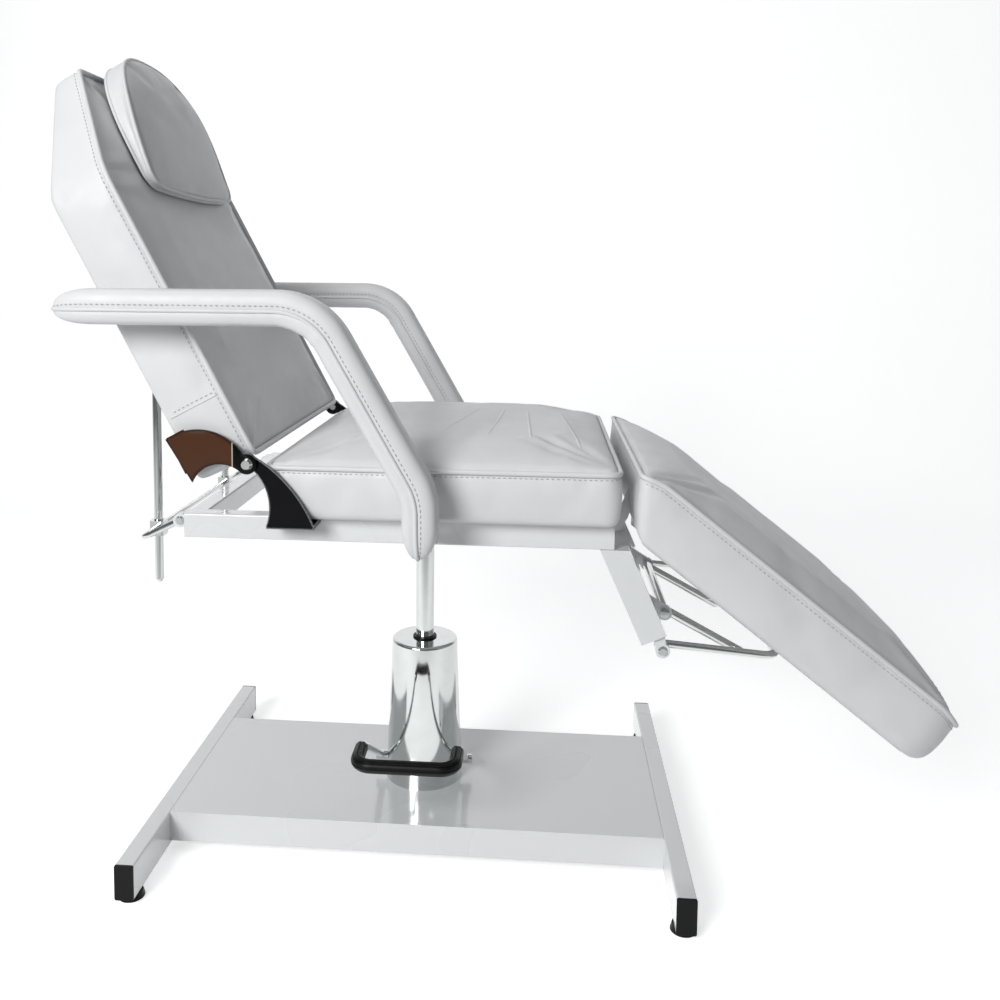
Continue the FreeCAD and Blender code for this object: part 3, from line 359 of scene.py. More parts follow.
def make_plain(name, dark, light, scale, roughness, strength):
    """Moulded plastic, rubber, board or tape: two tones, a surface texture and soft edges."""
    material, tree, shader = new_material(name)
    edges, rounded = worn_edges(tree, 0.0012)
    cloud = noise_node(tree, scale, 5)
    link(tree, mix_colours(tree, cloud.outputs["Fac"], dark, light), shader.inputs["Base Color"])
    fine = noise_node(tree, scale * 6, 2)
    link(tree, bump(tree, fine.outputs["Fac"], strength, 0.0004, rounded), shader.inputs["Normal"])
    link(tree, ramp_value(tree, edges, 0, 1, roughness, roughness * 0.8), shader.inputs["Roughness"])
    shader.inputs["Specular IOR Level"].default_value = 0.18
    return material


vinyl = make_vinyl("white_vinyl")
creased_vinyl = make_vinyl("creased_vinyl", SEAT_FOLDS)
thread = make_thread()
finishes = {
    "white_paint": make_paint("white_paint", (0.74, 0.755, 0.76), (0.76, 0.775, 0.78), 0.28, 0.05),
    "black_gloss": make_bordered("black_gloss", (0.003, 0.003, 0.004), (0.62, 0.62, 0.62), 0.0040),
    "brown_gloss": make_bordered("brown_gloss", (0.075, 0.031, 0.016), (0.002, 0.002, 0.002), 0.0090,
                                 black_end=True),
    "chrome": make_chrome(),
    "steel": make_steel(),
    "black_plastic": make_plain("black_plastic", (0.001, 0.001, 0.001),
                                (0.004, 0.004, 0.004), 120, 0.35, 0.10),
    "white_plastic": make_plain("white_plastic", (0.74, 0.74, 0.74), (0.82, 0.82, 0.82), 90, 0.5, 0.08),
    "black_rubber": make_plain("black_rubber", (0.002, 0.002, 0.002),
                               (0.007, 0.007, 0.007), 150, 0.40, 0.15),
    "lined_board": make_plain("lined_board", (0.66, 0.66, 0.66), (0.78, 0.78, 0.77), 60, 0.85, 0.3),
    "hook_tape": make_plain("hook_tape", (0.66, 0.66, 0.66), (0.80, 0.80, 0.80), 500, 0.9, 0.6),
    "white_vinyl": vinyl,
}
for subpart in frame["record"]["subparts"]:
    shown = nodes[subpart["node"]]
    shown.data.materials.clear()
    shown.data.materials.append(finishes[subpart["material_slot"]])


# Meshes

def make_object(name, vertices, faces, material, body, slot):
    mesh = bpy.data.meshes.new(name)
    mesh.from_pydata([tuple(v) for v in vertices], [], faces)
    mesh.polygons.foreach_set("use_smooth", [True] * len(mesh.polygons))
    mesh.materials.append(material)
    mesh.update()
    made = bpy.data.objects.new(name, mesh)
    bpy.context.scene.collection.objects.link(made)
    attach(made, body)
    return made


def face_outwards(made):
    """Turns a closed mesh's faces outwards, by the sign of its volume."""
    mesh = made.data
    volume = 0.0
    for polygon in mesh.polygons:
        corners = [mesh.vertices[i].co for i in polygon.vertices]
        for b, c in zip(corners[1:], corners[2:]):
            volume += corners[0].dot(b.cross(c))
    if volume < 0:
        mesh.flip_normals()


def corner_arc(before, corner, after, radius, steps):
    """The arc that rounds a corner between two neighbours, as points."""
    to_before = (before - corner) / np.linalg.norm(before - corner)
    to_after = (after - corner) / np.linalg.norm(after - corner)
    half = math.acos(float(np.clip(to_before @ to_after, -1, 1))) / 2
    reach = radius / math.tan(half)
    centre_way = (to_before + to_after) / np.linalg.norm(to_before + to_after)
    centre = corner + centre_way * radius / math.sin(half)
    first = corner + to_before * reach - centre
    last = corner + to_after * reach - centre
    points = []
    for k in range(steps + 1):
        t = k / steps
        spoke = first * (1 - t) + last * t
        points.append(centre + spoke / np.linalg.norm(spoke) * radius)
    return points


def rounded_outline(corners, steps=10):
    """A closed outline with an arc at each (a, b, radius) corner, and where each arc's middle is."""
    spots = [np.array(corner[:2]) for corner in corners]
    points = []
    middles = []
    for i, (before, here, after) in enumerate(zip(spots[-1:] + spots, spots, spots[1:] + spots[:1])):
        middles.append(len(points) + steps // 2)
        points += corner_arc(before, here, after, corners[i][2], steps)
    return np.array(points), middles


def resampled(points, count):
    """The same line with evenly spaced points."""
    points = np.asarray(points, float)
    steps = np.linalg.norm(np.diff(points, axis=0), axis=1)
    way = np.concatenate(([0], np.cumsum(steps)))
    wanted = np.linspace(0, way[-1], count)
    return np.stack([np.interp(wanted, way, points[:, k]) for k in range(points.shape[1])], axis=1)


def patch(outline, marks, rows, columns):
    """A grid of points that fills an outline, its four corners at the marked outline points."""
    closed = np.concatenate([outline, outline])
    ends = list(marks) + [marks[0] + len(outline)]
    sides = [closed[start:end + 1] for start, end in zip(ends, ends[1:])]
    low_side = resampled(sides[0], rows)
    far_end = resampled(sides[1], columns)
    high_side = resampled(sides[2][::-1], rows)
    near_end = resampled(sides[3][::-1], columns)
    u = np.linspace(0, 1, rows)[:, None, None]
    v = np.linspace(0, 1, columns)[None, :, None]
    ruled = (1 - v) * low_side[:, None] + v * high_side[:, None]
    ruled = ruled + (1 - u) * near_end[None] + u * far_end[None]
    corner_mix = (1 - u) * (1 - v) * low_side[0] + u * (1 - v) * low_side[-1]
    corner_mix = corner_mix + (1 - u) * v * high_side[0] + u * v * high_side[-1]
    return ruled - corner_mix


def rim_indices(rows, columns):
    """The grid's border, in order round it."""
    index = np.arange(rows * columns).reshape(rows, columns)
    return np.concatenate([index[:-1, 0], index[-1, :-1], index[:0:-1, -1], index[0, :0:-1]])


def grid_faces(rows, columns, start):
    index = np.arange(rows * columns).reshape(rows, columns) + start
    return np.stack([index[:-1, :-1], index[1:, :-1], index[1:, 1:], index[:-1, 1:]], axis=-1).reshape(-1, 4)


class SewnPad:
    """A boxed cover: a crowned face panel, a band round it that rounds under, and a flat underside."""

    def __init__(self, place, outline, marks, top, bottom, crown, low_round, fullness):
        self.place = place
        rows, columns = (int(v / PAD_SPACING) + 1 for v in np.ptp(outline, axis=0))
        grid = patch(outline, marks, rows, columns)
        a, b = grid[..., 0], grid[..., 1]
        power, lift = fullness
        u = np.linspace(-1, 1, rows)[:, None]
        v = np.linspace(-1, 1, columns)[None, :]
        dome = ((1 - np.abs(u) ** power) * (1 - np.abs(v) ** power)) ** lift
        self.rim = rim_indices(rows, columns)
        self.ring = grid.reshape(-1, 2)[self.rim]
        way = np.roll(self.ring, -1, axis=0) - np.roll(self.ring, 1, axis=0)
        way = way / np.linalg.norm(way, axis=1)[:, None]
        self.outward = np.stack([way[:, 1], -way[:, 0]], axis=1)
        self.top = top
        self.bottom = bottom
        self.low_round = low_round
        sunk = np.zeros((rows, columns))
        sunk.reshape(-1)[self.rim] = SEAM_DEPTH
        face = place.at(a, b, top(a, b) + crown(a, b) * dome - sunk).reshape(-1, 3)
        face[self.rim] -= SEAM_DEPTH * (self.outward[:, :1] * place.along + self.outward[:, 1:] * (0, 1, 0))
        vertices = [face]
        faces = [grid_faces(rows, columns, 0)]
        upper = self.rim
        count = rows * columns
        self.band_start = count
        for row in self.band_rows():
            lower = np.arange(count, count + len(self.rim))
            faces.append(self.strip(upper, lower))
            vertices.append(row)
            count += len(self.rim)
            upper = lower
        inner = self.ring - self.outward * low_round
        corners = [0, rows - 1, rows + columns - 2, 2 * rows + columns - 3]
        grid = patch(inner, corners, rows, columns)
        a, b = grid[..., 0], grid[..., 1]
        faces.append(self.strip(upper, self.rim + count))
        faces.append(grid_faces(rows, columns, count)[:, ::-1])
        vertices.append(place.at(a, b, bottom(a, b) + BOARD_PROUD).reshape(-1, 3))
        self.vertices = np.concatenate(vertices)
        self.faces = np.concatenate(faces)

    def band_rows(self):
        """The band below the face's seam: a straight fall, then a quarter turn under."""
        a, b = self.ring[:, 0], self.ring[:, 1]
        high = self.top(a, b)
        turn_height = self.bottom(a, b) + self.low_round
        falls = max(3, int(float(np.max(high - turn_height)) / PAD_SPACING))
        rows = []
        for k in range(1, falls + 1):
            t = k / falls
            bulge = BAND_BULGE * math.sin(math.pi * t)
            rows.append(self.place.at(a + self.outward[:, 0] * bulge, b + self.outward[:, 1] * bulge,
                                      high + t * (turn_height - high)))
        self.turn_start = self.band_start + falls * len(self.rim)
        for degrees in (22, 45, 67):
            t = math.radians(degrees)
            spot = self.ring - self.outward * self.low_round * (1 - math.cos(t))
            height = self.bottom(spot[:, 0], spot[:, 1]) + self.low_round * (1 - math.sin(t))
            rows.append(self.place.at(spot[:, 0], spot[:, 1], height))
        return rows

    @staticmethod
    def strip(upper, lower):
        return np.stack([upper, np.roll(upper, -1), np.roll(lower, -1), lower], axis=1)[:, ::-1]

    def held(self):
        """The vertices that stay put: the seam, and all from where the band turns under."""
        return np.concatenate([self.rim, np.arange(self.turn_start, len(self.vertices))])

    def seam(self, drop=0.0):
        """A closed line round the band, at a distance below the face's seam."""
        height = self.top(self.ring[:, 0], self.ring[:, 1]) - drop
        return self.place.at(self.ring[:, 0], self.ring[:, 1], height)

    def low_seam(self, rise):
        """A closed line round the band, at a height above the underside."""
        height = self.bottom(self.ring[:, 0], self.ring[:, 1]) + rise
        return self.place.at(self.ring[:, 0], self.ring[:, 1], height)


def swell(made, held, pressure, cap):
    """Inflates a cover as cloth between its held vertices, moving no point further than the cap."""
    scene = bpy.context.scene
    rest = np.array([v.co for v in made.data.vertices])
    group = made.vertex_groups.new(name="held")
    group.add([int(i) for i in held], 1.0, "REPLACE")
    cloth = made.modifiers.new("swell", "CLOTH")
    settings = cloth.settings
    settings.quality = 6
    settings.mass = 0.25
    settings.tension_stiffness = 30
    settings.compression_stiffness = 18
    settings.shear_stiffness = 12
    settings.bending_stiffness = 2
    settings.use_pressure = True
    settings.uniform_pressure_force = pressure
    settings.vertex_group_mass = "held"
    settings.effector_weights.gravity = 0
    cloth.collision_settings.use_collision = False
    cloth.point_cache.frame_start = 1
    cloth.point_cache.frame_end = SWELL_FRAMES
    for step in range(1, SWELL_FRAMES + 1):
        scene.frame_set(step)
    evaluated = made.evaluated_get(bpy.context.evaluated_depsgraph_get())
    moved = np.array([v.co for v in evaluated.data.vertices])
    made.modifiers.remove(cloth)
    made.vertex_groups.remove(group)
    shift = moved - rest
    reach = np.linalg.norm(shift, axis=1)
    share = np.minimum(1, cap / np.maximum(reach, 1e-9))
    made.data.vertices.foreach_set("co", (rest + shift * share[:, None]).astype(np.float32).ravel())
    made.data.update()
    scene.frame_set(1)


def crease(made, held, height, length, across):
    """Faint slack folds that run across a cover, none at its held vertices."""
    mesh = made.data
    mesh.update()
    still = set(int(i) for i in held)
    moves = []
    for vertex in mesh.vertices:
        if vertex.index in still:
            moves.append(vertex.co.copy())
            continue
        along = vertex.co.x / length
        side = vertex.co.y / across
        fold = noise.noise(Vector((along, side, vertex.co.z / length)))
        ridge = max(0.0, abs(fold) - 0.12)
        moves.append(vertex.co + vertex.normal * height * (fold - ridge))
    for vertex, place in zip(mesh.vertices, moves):
        vertex.co = place
    mesh.update()


def pucker(made, seam, held, height, reach=0.020):
    """Short gathers that run from a seam into a cover, deepest where the seam bends."""
    before = seam - np.roll(seam, 1, axis=0)
    after = np.roll(seam, -1, axis=0) - seam
    step = np.linalg.norm(after, axis=1)
    area = np.linalg.norm(before, axis=1) * step + 1e-12
    turn = np.linalg.norm(np.cross(before, after), axis=1) / area
    bend = np.convolve(np.concatenate([turn[-6:], turn, turn[:6]]), np.ones(13) / 13, "valid")
    bends = np.minimum(1, bend * 9)
    ways = np.concatenate(([0], np.cumsum(step[:-1])))
    tree = kdtree.KDTree(len(seam))
    for index, point in enumerate(seam):
        tree.insert(Vector(point), index)
    tree.balance()
    still = set(int(i) for i in held)
    mesh = made.data
    moves = []
    for vertex in mesh.vertices:
        place = vertex.co.copy()
        moves.append(place)
        if vertex.index in still:
            continue
        index, gap = tree.find(vertex.co)[1:]
        if gap > 5 * reach:
            continue
        fade = math.exp(-gap / reach) * (1 - math.exp(-gap / 0.005))
        gather = noise.noise(Vector((ways[index] / 0.021, gap / 0.09, 3.7)))
        place += vertex.normal * (gather * fade * height * (0.55 + 1.6 * bends[index]))
    for vertex, place in zip(mesh.vertices, moves):
        vertex.co = place
    mesh.update()


def laid_on(made, points, lift):
    """The same line of points, brought onto a cover's surface."""
    mesh = made.data
    tree = BVHTree.FromPolygons([v.co for v in mesh.vertices], [tuple(p.vertices) for p in mesh.polygons])
    found = []
    for point in points:
        spot, normal = tree.find_nearest(Vector(point))[:2]
        found.append(spot + normal * lift)
    return np.array(found)


def smoothed(made, levels):
    modifier = made.modifiers.new("smooth", "SUBSURF")
    modifier.levels = levels
    modifier.render_levels = levels


def tube(points, radius, closed, sides=10):
    """Vertices and faces of a round tube along a line of points."""
    points = np.asarray(points, float)
    count = len(points)
    if closed:
        way = np.roll(points, -1, axis=0) - np.roll(points, 1, axis=0)
    else:
        way = np.gradient(points, axis=0)
    way = way / np.linalg.norm(way, axis=1)[:, None]
    first = np.cross(way, OFF_AXIS)
    first = first / np.linalg.norm(first, axis=1)[:, None]
    second = np.cross(way, first)
    angle = np.linspace(0, 2 * math.pi, sides, endpoint=False)
    spokes = first[:, None] * np.cos(angle)[None, :, None] + second[:, None] * np.sin(angle)[None, :, None]
    vertices = (points[:, None] + radius * spokes).reshape(-1, 3)
    faces = []
    for i in range(count if closed else count - 1):
        here, after = i * sides, ((i + 1) % count) * sides
        for k in range(sides):
            n = (k + 1) % sides
            faces.append((here + k, here + n, after + n, after + k))
    if not closed:
        faces.append(tuple(range(sides - 1, -1, -1)))
        faces.append(tuple(range((count - 1) * sides, count * sides)))
    return vertices, faces


def pipe(name, points, body, radius=PIPE_RADIUS, closed=True):
    """Piping: a cord sewn into a seam."""
    if closed:
        points = np.concatenate([points, points[:1]])
    length = float(np.linalg.norm(np.diff(points, axis=0), axis=1).sum())
    points = resampled(points, int(length / 0.006))
    if closed:
        points = points[:-1]
    made = make_object(name, *tube(points, radius, closed), vinyl, body, "white_vinyl")
    face_outwards(made)
    return made


def stitches(name, points, body, length=0.0046, pitch=0.0078, radius=0.0009):
    """A row of single stitches, each a short thread with sunk ends."""
    points = np.asarray(points, float)
    steps = np.linalg.norm(np.diff(points, axis=0), axis=1)
    way = np.concatenate(([0], np.cumsum(steps)))
    vertices = []
    faces = []
    for start in np.arange(pitch, way[-1] - pitch, pitch):
        stops = start + length * np.linspace(-0.5, 0.5, 4)
        line = np.stack([np.interp(stops, way, points[:, k]) for k in range(3)], axis=1)
        ring, quads = tube(line, radius, False, sides=6)
        pinch = np.repeat((0.45, 1, 1, 0.45), 6)[:, None]
        middle = np.repeat(line, 6, axis=0)
        ring = middle + (ring - middle) * pinch
        faces += [tuple(i + len(vertices) for i in face) for face in quads]
        vertices += list(ring)
    return make_object(name, vertices, faces, thread, body, "white_vinyl")


def finish_pad(name, pad, body, node, cap, fold, gather):
    """Makes a cover from its sewn shape: swelled, creased and gathered at its seam."""
    made = make_object(name, pad.vertices, [tuple(int(i) for i in f) for f in pad.faces], vinyl, body,
                       "white_vinyl")
    face_outwards(made)
    swell(made, pad.held(), 3.0, cap)
    crease(made, pad.held(), *fold)
    pucker(made, pad.seam(), pad.held(), gather)
    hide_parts(node)
    return made


def flat(value):
    """A height that is the same all over a pad."""
    return lambda a, b: np.full_like(a, value)


def edge_stitches(name, cover, pad, drop, body):
    """Stitches round a cover's band, at a distance below its face's seam."""
    line = pad.seam(drop)
    line = np.concatenate([line, line[:1]])
    stitches(name, laid_on(cover, line, STITCH_LIFT), body)


# Seat

def make_seat():
    length = seat_high.x - seat_low.x
    edge = seat_high.z - 0.036
    w = HALF_WIDTH - COVER_INSET
    start, end = COVER_INSET, length - COVER_INSET
    corner = 0.020
    outline, marks = rounded_outline([(start, -w, corner), (end, -w, corner), (end, w, corner),
                                      (start, w, corner)])
    pad = SewnPad(SEAT, outline, marks, flat(edge), flat(seat_low.z), crown=flat(0.030), low_round=0.016,
                  fullness=(7.0, 0.6))
    cover = finish_pad("seat_cover", pad, "seat", "seat_cushion", cap=0.007, fold=(0.0022, 0.05, 0.16),
                       gather=0.0018)
    cover.data.materials.clear()
    cover.data.materials.append(creased_vinyl)
    pipe("seat_piping", pad.seam(), "seat")
    edge_stitches("seat_stitches", cover, pad, 0.0075, "seat")


# Backrest

def back_rear(a, b):
    """Height of the backrest's rear: level, then sloping forward where the plan narrows."""
    share = np.clip((a - BACK_TAPER_START) / (BACK_LENGTH - BACK_TAPER_START), 0, 1)
    return -BACK_THICK + share * (BACK_THICK - BACK_TOP_THICK)


def band_line(cover, along, side):
    """A line down the band on one side of the backrest."""
    heights = np.linspace(-0.009, -0.091, 30)
    line = np.array([BACK.at(along, side * HALF_WIDTH, h) for h in heights])
    return laid_on(cover, line, STITCH_LIFT)


def make_back():
    w, top_w = HALF_WIDTH - COVER_INSET, BACK_TOP_HALF_WIDTH - COVER_INSET
    low, end = COVER_INSET, BACK_LENGTH - COVER_INSET
    outline, marks = rounded_outline([(low, -w, 0.014), (BACK_TAPER_START, -w, 0.10), (end, -top_w, 0.016),
                                      (end, top_w, 0.016), (BACK_TAPER_START, w, 0.10), (low, w, 0.014)])
    patch_marks = [marks[0], marks[2], marks[3], marks[5]]
    pad = SewnPad(BACK, outline, patch_marks, flat(-0.003), back_rear, crown=flat(0.009), low_round=0.010,
                  fullness=(6.5, 0.6))
    cover = finish_pad("back_cover", pad, "back", "back_cushion", cap=0.006, fold=(0.0016, 0.06, 0.15),
                       gather=0.0014)
    pipe("back_piping", pad.seam(), "back", radius=0.0044)
    edge_stitches("back_stitches", cover, pad, 0.0085, "back")
    # The band is joined by an upright seam on each side, stitched along its upper edge
    for side, name in SIDES:
        pipe("back_joint_" + name, band_line(cover, BACK_JOINT, side), "back", radius=0.0011, closed=False)
        stitches("back_joint_stitches_" + name, band_line(cover, BACK_JOINT + 0.006, side), "back")


# Leg rest

def leg_top(a, b):
    """Height of the leg rest's face seam: it dips at the hinge and at the foot end."""
    hinge = 0.013 * (1 - smooth_step(a, LEG_TOP_START - 0.012, LEG_TOP_START + 0.045))
    foot = 0.014 * smooth_step(a, LEG_END - 0.075, LEG_END + 0.01)
    return LEG_EDGE_TOP - 0.003 - hinge - foot


def leg_bottom(a, b):
    """Height of its underside, which turns up towards the foot end."""
    reach = 0.048
    into = np.clip(a - (LEG_END - reach), 0, reach * 0.92)
    return LEG_UNDERSIDE + 0.55 * (reach - np.sqrt(reach ** 2 - into ** 2))


def make_leg_rest():
    w = HALF_WIDTH - COVER_INSET
    start, end = LEG_TOP_START + COVER_INSET, LEG_END - 0.005
    outline, marks = rounded_outline([(start, -w, 0.014), (end, -w, 0.072), (end, w, 0.072),
                                      (start, w, 0.014)])
    slope = (LEG_LOW_START - LEG_TOP_START) / (LEG_EDGE_TOP - LEG_UNDERSIDE)
    pad = SewnPad(LEG, outline, marks, leg_top, leg_bottom, crown=flat(0.025), low_round=0.017,
                  fullness=(6.0, 0.6))
    # The band beside the seat slopes under, so that it stands upright as the leg rest hangs
    local = (pad.vertices - LEG.origin) @ LEG.along
    height = (pad.vertices - LEG.origin) @ LEG.out
    edge = leg_top(local, 0)
    slant = np.maximum(0, edge - height) * slope * (1 - smooth_step(local, start, start + 0.12))
    pad.vertices = pad.vertices + slant[:, None] * LEG.along
    cover = finish_pad("leg_cover", pad, "leg_rest", "leg_cushion", cap=0.007, fold=(0.0018, 0.06, 0.15),
                       gather=0.0016)
    pipe("leg_piping", pad.seam(), "leg_rest")
    edge_stitches("leg_stitches", cover, pad, 0.0085, "leg_rest")


# Head pillow

def pillow_outline():
    """A bowed lower edge, short upright sides and an arch over the head; its four patch corners too."""
    w, length = PILLOW_HALF_WIDTH - 0.003, PILLOW_LENGTH - 0.003
    shoulder = PILLOW_START + PILLOW_FULL * length
    arch = []
    for t in np.linspace(0, math.pi, 61):
        across = -math.copysign(abs(math.cos(t)) ** (2 / PILLOW_ARCH), math.cos(t)) * w
        rise = math.sin(t) ** (2 / PILLOW_ARCH)
        arch.append((shoulder + rise * (1 - PILLOW_FULL) * length, across))
    lower = []
    for t in np.linspace(0, 1, 41):
        across = w * (1 - 2 * t)
        corner = max(0.0, abs(1 - 2 * t) - 0.86) / 0.14
        bow = 0.009 * (1 - 2 * t) ** 2
        lower.append((PILLOW_START + bow + 0.5 * PILLOW_FULL * length * corner ** 3, across))
    outline = np.array(arch + lower)
    marks = [len(arch) + len(lower) - 4, 21, 39, len(arch) + 3]
    turned = np.roll(outline, -marks[0], axis=0)
    count = len(outline)
    return turned, [(m - marks[0]) % count for m in marks]


def pillow_face(a, b):
    """Height of the pillow's face seam above the backrest: a wedge, thickest at the head."""
    share = (a - PILLOW_START) / PILLOW_LENGTH
    return PILLOW_FLOOR + 0.009 + 0.027 * smooth_step(share, -0.15, 0.85)


def make_pillow():
    outline, marks = pillow_outline()
    pad = SewnPad(BACK, outline, marks, pillow_face, flat(PILLOW_FLOOR), crown=flat(0.011), low_round=0.003,
                  fullness=(3.6, 0.6))
    finish_pad("pillow_cover", pad, "back", "head_pillow", cap=0.005, fold=(0.0012, 0.05, 0.1),
               gather=0.0016)
    pipe("pillow_piping", pad.seam(), "back", radius=0.0034)
    pipe("pillow_lower_piping", pad.low_seam(0.003), "back", radius=0.0028)


# Armrests

def arm_line(count):
    """The armrest's centre line in (x, z): straight runs joined by arcs."""
    points = [np.array(p) for p in ARM_POINTS]
    line = [points[0]]
    for before, corner, after, radius in zip(points, points[1:], points[2:], ARM_RADII):
        line += corner_arc(before, corner, after, radius, 23)
    line.append(points[-1])
    return resampled(np.array(line), count) + np.array((COLUMN_X, 0))


def arm_section(count):
    """Half-width and height round the armrest: a full upper pad over a seam, and a shallower lower one."""
    seam = ARM_THICK / 2 - ARM_SEAM_DROP
    angle = np.linspace(0, 2 * math.pi, count, endpoint=False)
    across = np.sign(np.cos(angle)) * np.abs(np.cos(angle)) ** 0.55 * ARM_WIDTH / 2
    rise = np.abs(np.sin(angle)) ** 0.62
    height = np.where(np.sin(angle) >= 0, seam + rise * (ARM_THICK / 2 - seam),
                      seam - rise * (seam + ARM_THICK / 2))
    near_seam = np.exp(-((height - seam) / 0.003) ** 2)
    return across - np.sign(across) * 0.0014 * near_seam, height


def arm_rings():
    """Centre, upward direction and share of the full section, from the nose's tip to the low end's tip."""
    line = arm_line(210)
    way = np.gradient(line, axis=0)
    way = way / np.linalg.norm(way, axis=1)[:, None]
    up = np.stack([-way[:, 1], way[:, 0]], axis=1)
    rings = []
    for degrees in (84, 78, 70, 62, 54, 46, 38, 30, 22, 14, 7):
        t = math.radians(degrees)
        rings.append((line[0] - way[0] * ARM_NOSE * math.sin(t), up[0], math.cos(t) ** 0.85))
    for point, normal in zip(line, up):
        gap = np.linalg.norm(line[-1] - point)
        into = max(0.0, ARM_LOW_TIP - gap) / (2 * ARM_LOW_TIP)
        rings.append((point, normal, math.sqrt(1 - into ** 2)))
    for degrees in (12, 24, 36, 48, 58, 68, 76, 84):
        t = math.radians(degrees)
        into = 0.5 + 0.5 * math.sin(t)
        rings.append((line[-1] + way[-1] * ARM_LOW_TIP * math.sin(t), up[-1], math.sqrt(1 - into ** 2)))
    return rings


def make_armrest(side, name):
    y = side * ARM_Y
    rings = arm_rings()
    sides = 48
    across, height = arm_section(sides)
    seam = ARM_THICK / 2 - ARM_SEAM_DROP
    bend = np.array((COLUMN_X + ARM_POINTS[1][0], ARM_POINTS[1][1] - 0.03))
    vertices = []
    for centre, normal, share in rings:
        slack = math.exp(-(np.linalg.norm(centre - bend) / 0.055) ** 2)
        for b, h in zip(across, height):
            tall = seam + (h - seam) * share
            fold = noise.noise(Vector((centre[0] / 0.016 - centre[1] / 0.02, b / 0.05, h / 0.08 + side)))
            lower = 1 - smooth_step(h, -0.02, 0.012)
            tall -= 0.0030 * slack * lower * max(0.0, fold)
            wide = b * share * (1 + 0.02 * slack * lower * fold)
            vertices.append((centre[0] + normal[0] * tall, y + wide, centre[1] + normal[1] * tall))
    faces = []
    for i in range(len(rings) - 1):
        for k in range(sides):
            n = (k + 1) % sides
            faces.append((i * sides + k, i * sides + n, (i + 1) * sides + n, (i + 1) * sides + k))
    faces.append(tuple(range(sides)))
    faces.append(tuple(range(len(rings) * sides - 1, (len(rings) - 1) * sides - 1, -1)))
    made = make_object("armrest_cover_" + name, vertices, faces, vinyl, "seat", "white_vinyl")
    face_outwards(made)

    def seam_line(drop):
        """From the low end's tip up one side of the armrest, round its nose and down the other."""
        rows = []
        for b_sign in (-1, 1):
            run = []
            for centre, normal, share in rings:
                tall = seam + drop * share
                wide = b_sign * (ARM_WIDTH / 2 - 0.0006) * share
                run.append((centre[0] + normal[0] * tall, y + wide, centre[1] + normal[1] * tall))
            rows.append(np.array(run))
        return np.concatenate([rows[0][::-1], rows[1]])

    pucker(made, seam_line(0), (), 0.0009, 0.010)
    pipe("armrest_piping_" + name, seam_line(0), "seat", radius=0.0030, closed=False)
    stitches("armrest_stitches_" + name, laid_on(made, seam_line(0.0075), STITCH_LIFT), "seat")
    smoothed(made, 1)
    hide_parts("armrest_pad_" + name)


make_seat()
make_back()
make_leg_rest()
make_pillow()
for arm_side, arm_name in SIDES:
    make_armrest(arm_side, arm_name)


# Studio

def make_paper():
    """Pale paper that looks white to the camera and in gloss, and casts no light of its own.

    It is painted darker towards the camera and far to the sides, in its colour and in the glow it shows, a
    painted falloff of light, so that chrome has dark places to reflect.
    """
    material, tree, shader = new_material("studio_paper")
    fibres = noise_node(tree, 3, 3)
    pale = mix_colours(tree, fibres.outputs["Fac"], (0.86, 0.865, 0.87), (0.89, 0.89, 0.89))
    place = axes(tree)
    # Painted shade: the paper's colour falls to a dark grey ahead of the chair, standing in for light
    # falling off there
    painted_dimming_ahead = ramp_value(tree, place["Y"], -0.75, -1.8, 0, 0.8)
    link(tree, laid_over(tree, painted_dimming_ahead, pale, (0.34, 0.35, 0.34)), shader.inputs["Base Color"])
    shader.inputs["Roughness"].default_value = 0.9
    shader.inputs["Emission Color"].default_value = (1, 1, 1, 1)
    # Its glow, seen only by the camera and in gloss, is painted dimmer ahead and far to the sides too
    sideways = combined(tree, "ABSOLUTE", place["X"])
    glow = combined(tree, "MULTIPLY", ramp_value(tree, place["Y"], -0.6, -1.5, 0.58, 0.10),
                    ramp_value(tree, sideways, 2.4, 5.0, 1, 0.45))
    path = tree.nodes.new("ShaderNodeLightPath")
    seen = path.outputs["Is Camera Ray"]
    for ray in ("Is Glossy Ray", "Is Transmission Ray"):
        seen = combined(tree, "MAXIMUM", seen, path.outputs[ray])
    link(tree, combined(tree, "MULTIPLY", glow, seen), shader.inputs["Emission Strength"])
    return material


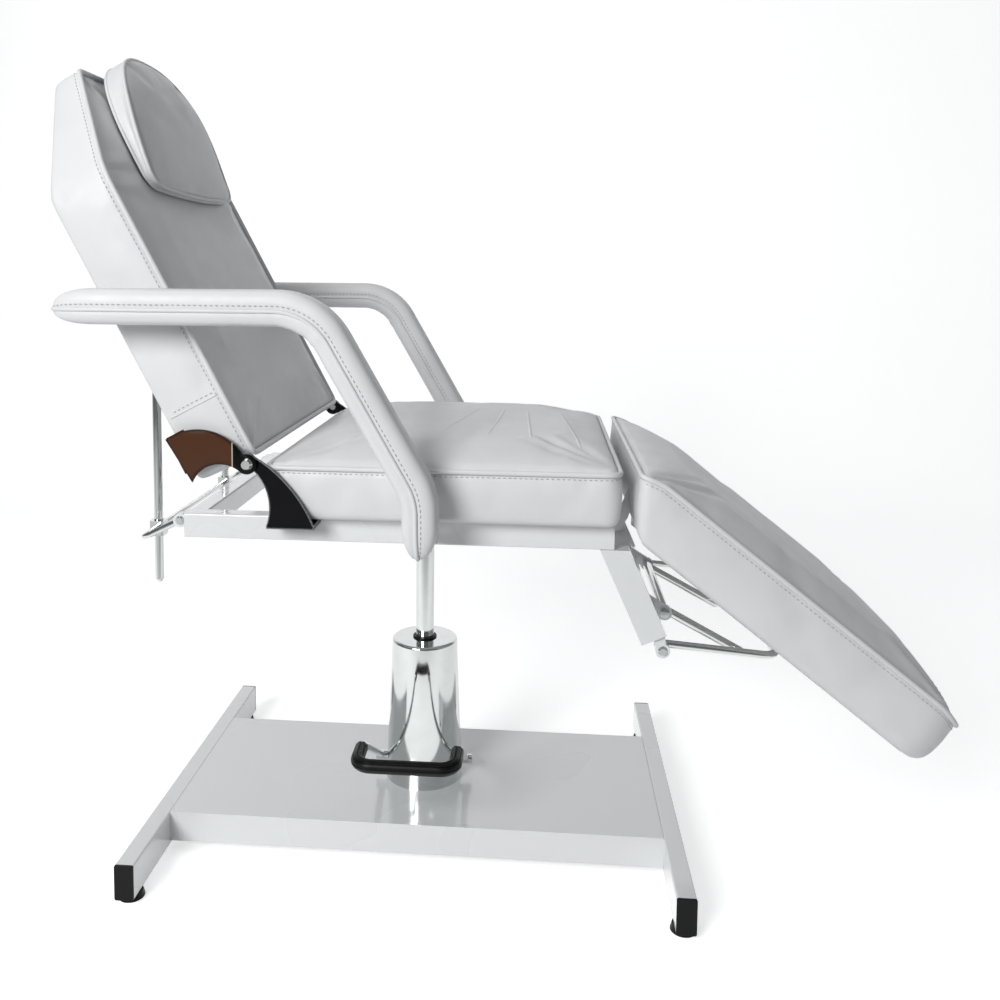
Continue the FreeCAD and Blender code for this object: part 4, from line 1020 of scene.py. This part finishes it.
def make_floor():
    """A pale floor that curves up into a backdrop well behind the chair."""
    half, front, depth, bend, height = 9.0, -7.0, 3.2, 1.2, 6.0
    steps = 12
    profile = [(front, 0.0), (depth - bend, 0.0)]
    for k in range(1, steps + 1):
        t = math.radians(90 * k / steps)
        profile.append((depth - bend + bend * math.sin(t), bend - bend * math.cos(t)))
    profile.append((depth, height))
    vertices = [(x, y, z) for y, z in profile for x in (-half, half)]
    faces = [(2 * i, 2 * i + 1, 2 * i + 3, 2 * i + 2) for i in range(len(profile) - 1)]
    mesh = bpy.data.meshes.new("studio_floor")
    mesh.from_pydata(vertices, [], faces)
    mesh.polygons.foreach_set("use_smooth", [True] * len(mesh.polygons))
    mesh.materials.append(make_paper())
    floor = bpy.data.objects.new("studio_floor", mesh)
    bpy.context.scene.collection.objects.link(floor)


def make_light(name, place, target, size, power):
    data = bpy.data.lights.new(name, "AREA")
    data.shape = "DISK"
    data.size = size
    data.energy = power
    light = bpy.data.objects.new(name, data)
    light.location = place
    light.rotation_euler = (Vector(target) - Vector(place)).to_track_quat("-Z", "Y").to_euler()
    bpy.context.scene.collection.objects.link(light)


def make_camera():
    yaw, pitch, roll = (math.radians(v) for v in (4.7, 4.7, 0.45))
    forward = Vector((-math.sin(yaw) * math.cos(pitch), math.cos(yaw) * math.cos(pitch), -math.sin(pitch)))
    data = bpy.data.cameras.new("camera")
    data.sensor_width = 36
    data.lens = 35.28
    data.shift_x = 0.042
    data.shift_y = -0.15
    camera = bpy.data.objects.new("camera", data)
    camera.location = (COLUMN_X + 0.195, -1.698, 0.973)
    turn = forward.to_track_quat("-Z", "Y").to_matrix().to_4x4()
    camera.rotation_euler = (turn @ Matrix.Rotation(roll, 4, "Z")).to_euler()
    bpy.context.scene.collection.objects.link(camera)
    bpy.context.scene.camera = camera


def make_studio():
    make_floor()
    make_light("key", (-1.8, -3.6, 2.3), (0, 0, 0.7), 1.8, 136)
    make_light("overhead", (-1.0, -0.2, 3.6), (-0.2, 0, 0.6), 2.2, 19)
    world = bpy.data.worlds.new("studio")
    world.use_nodes = True
    sky = world.node_tree.nodes["Background"]
    sky.inputs["Color"].default_value = (0.94, 0.97, 1.0, 1)
    sky.inputs["Strength"].default_value = 0.17
    scene = bpy.context.scene
    scene.world = world
    scene.view_settings.view_transform = "Standard"
    make_camera()


make_studio()
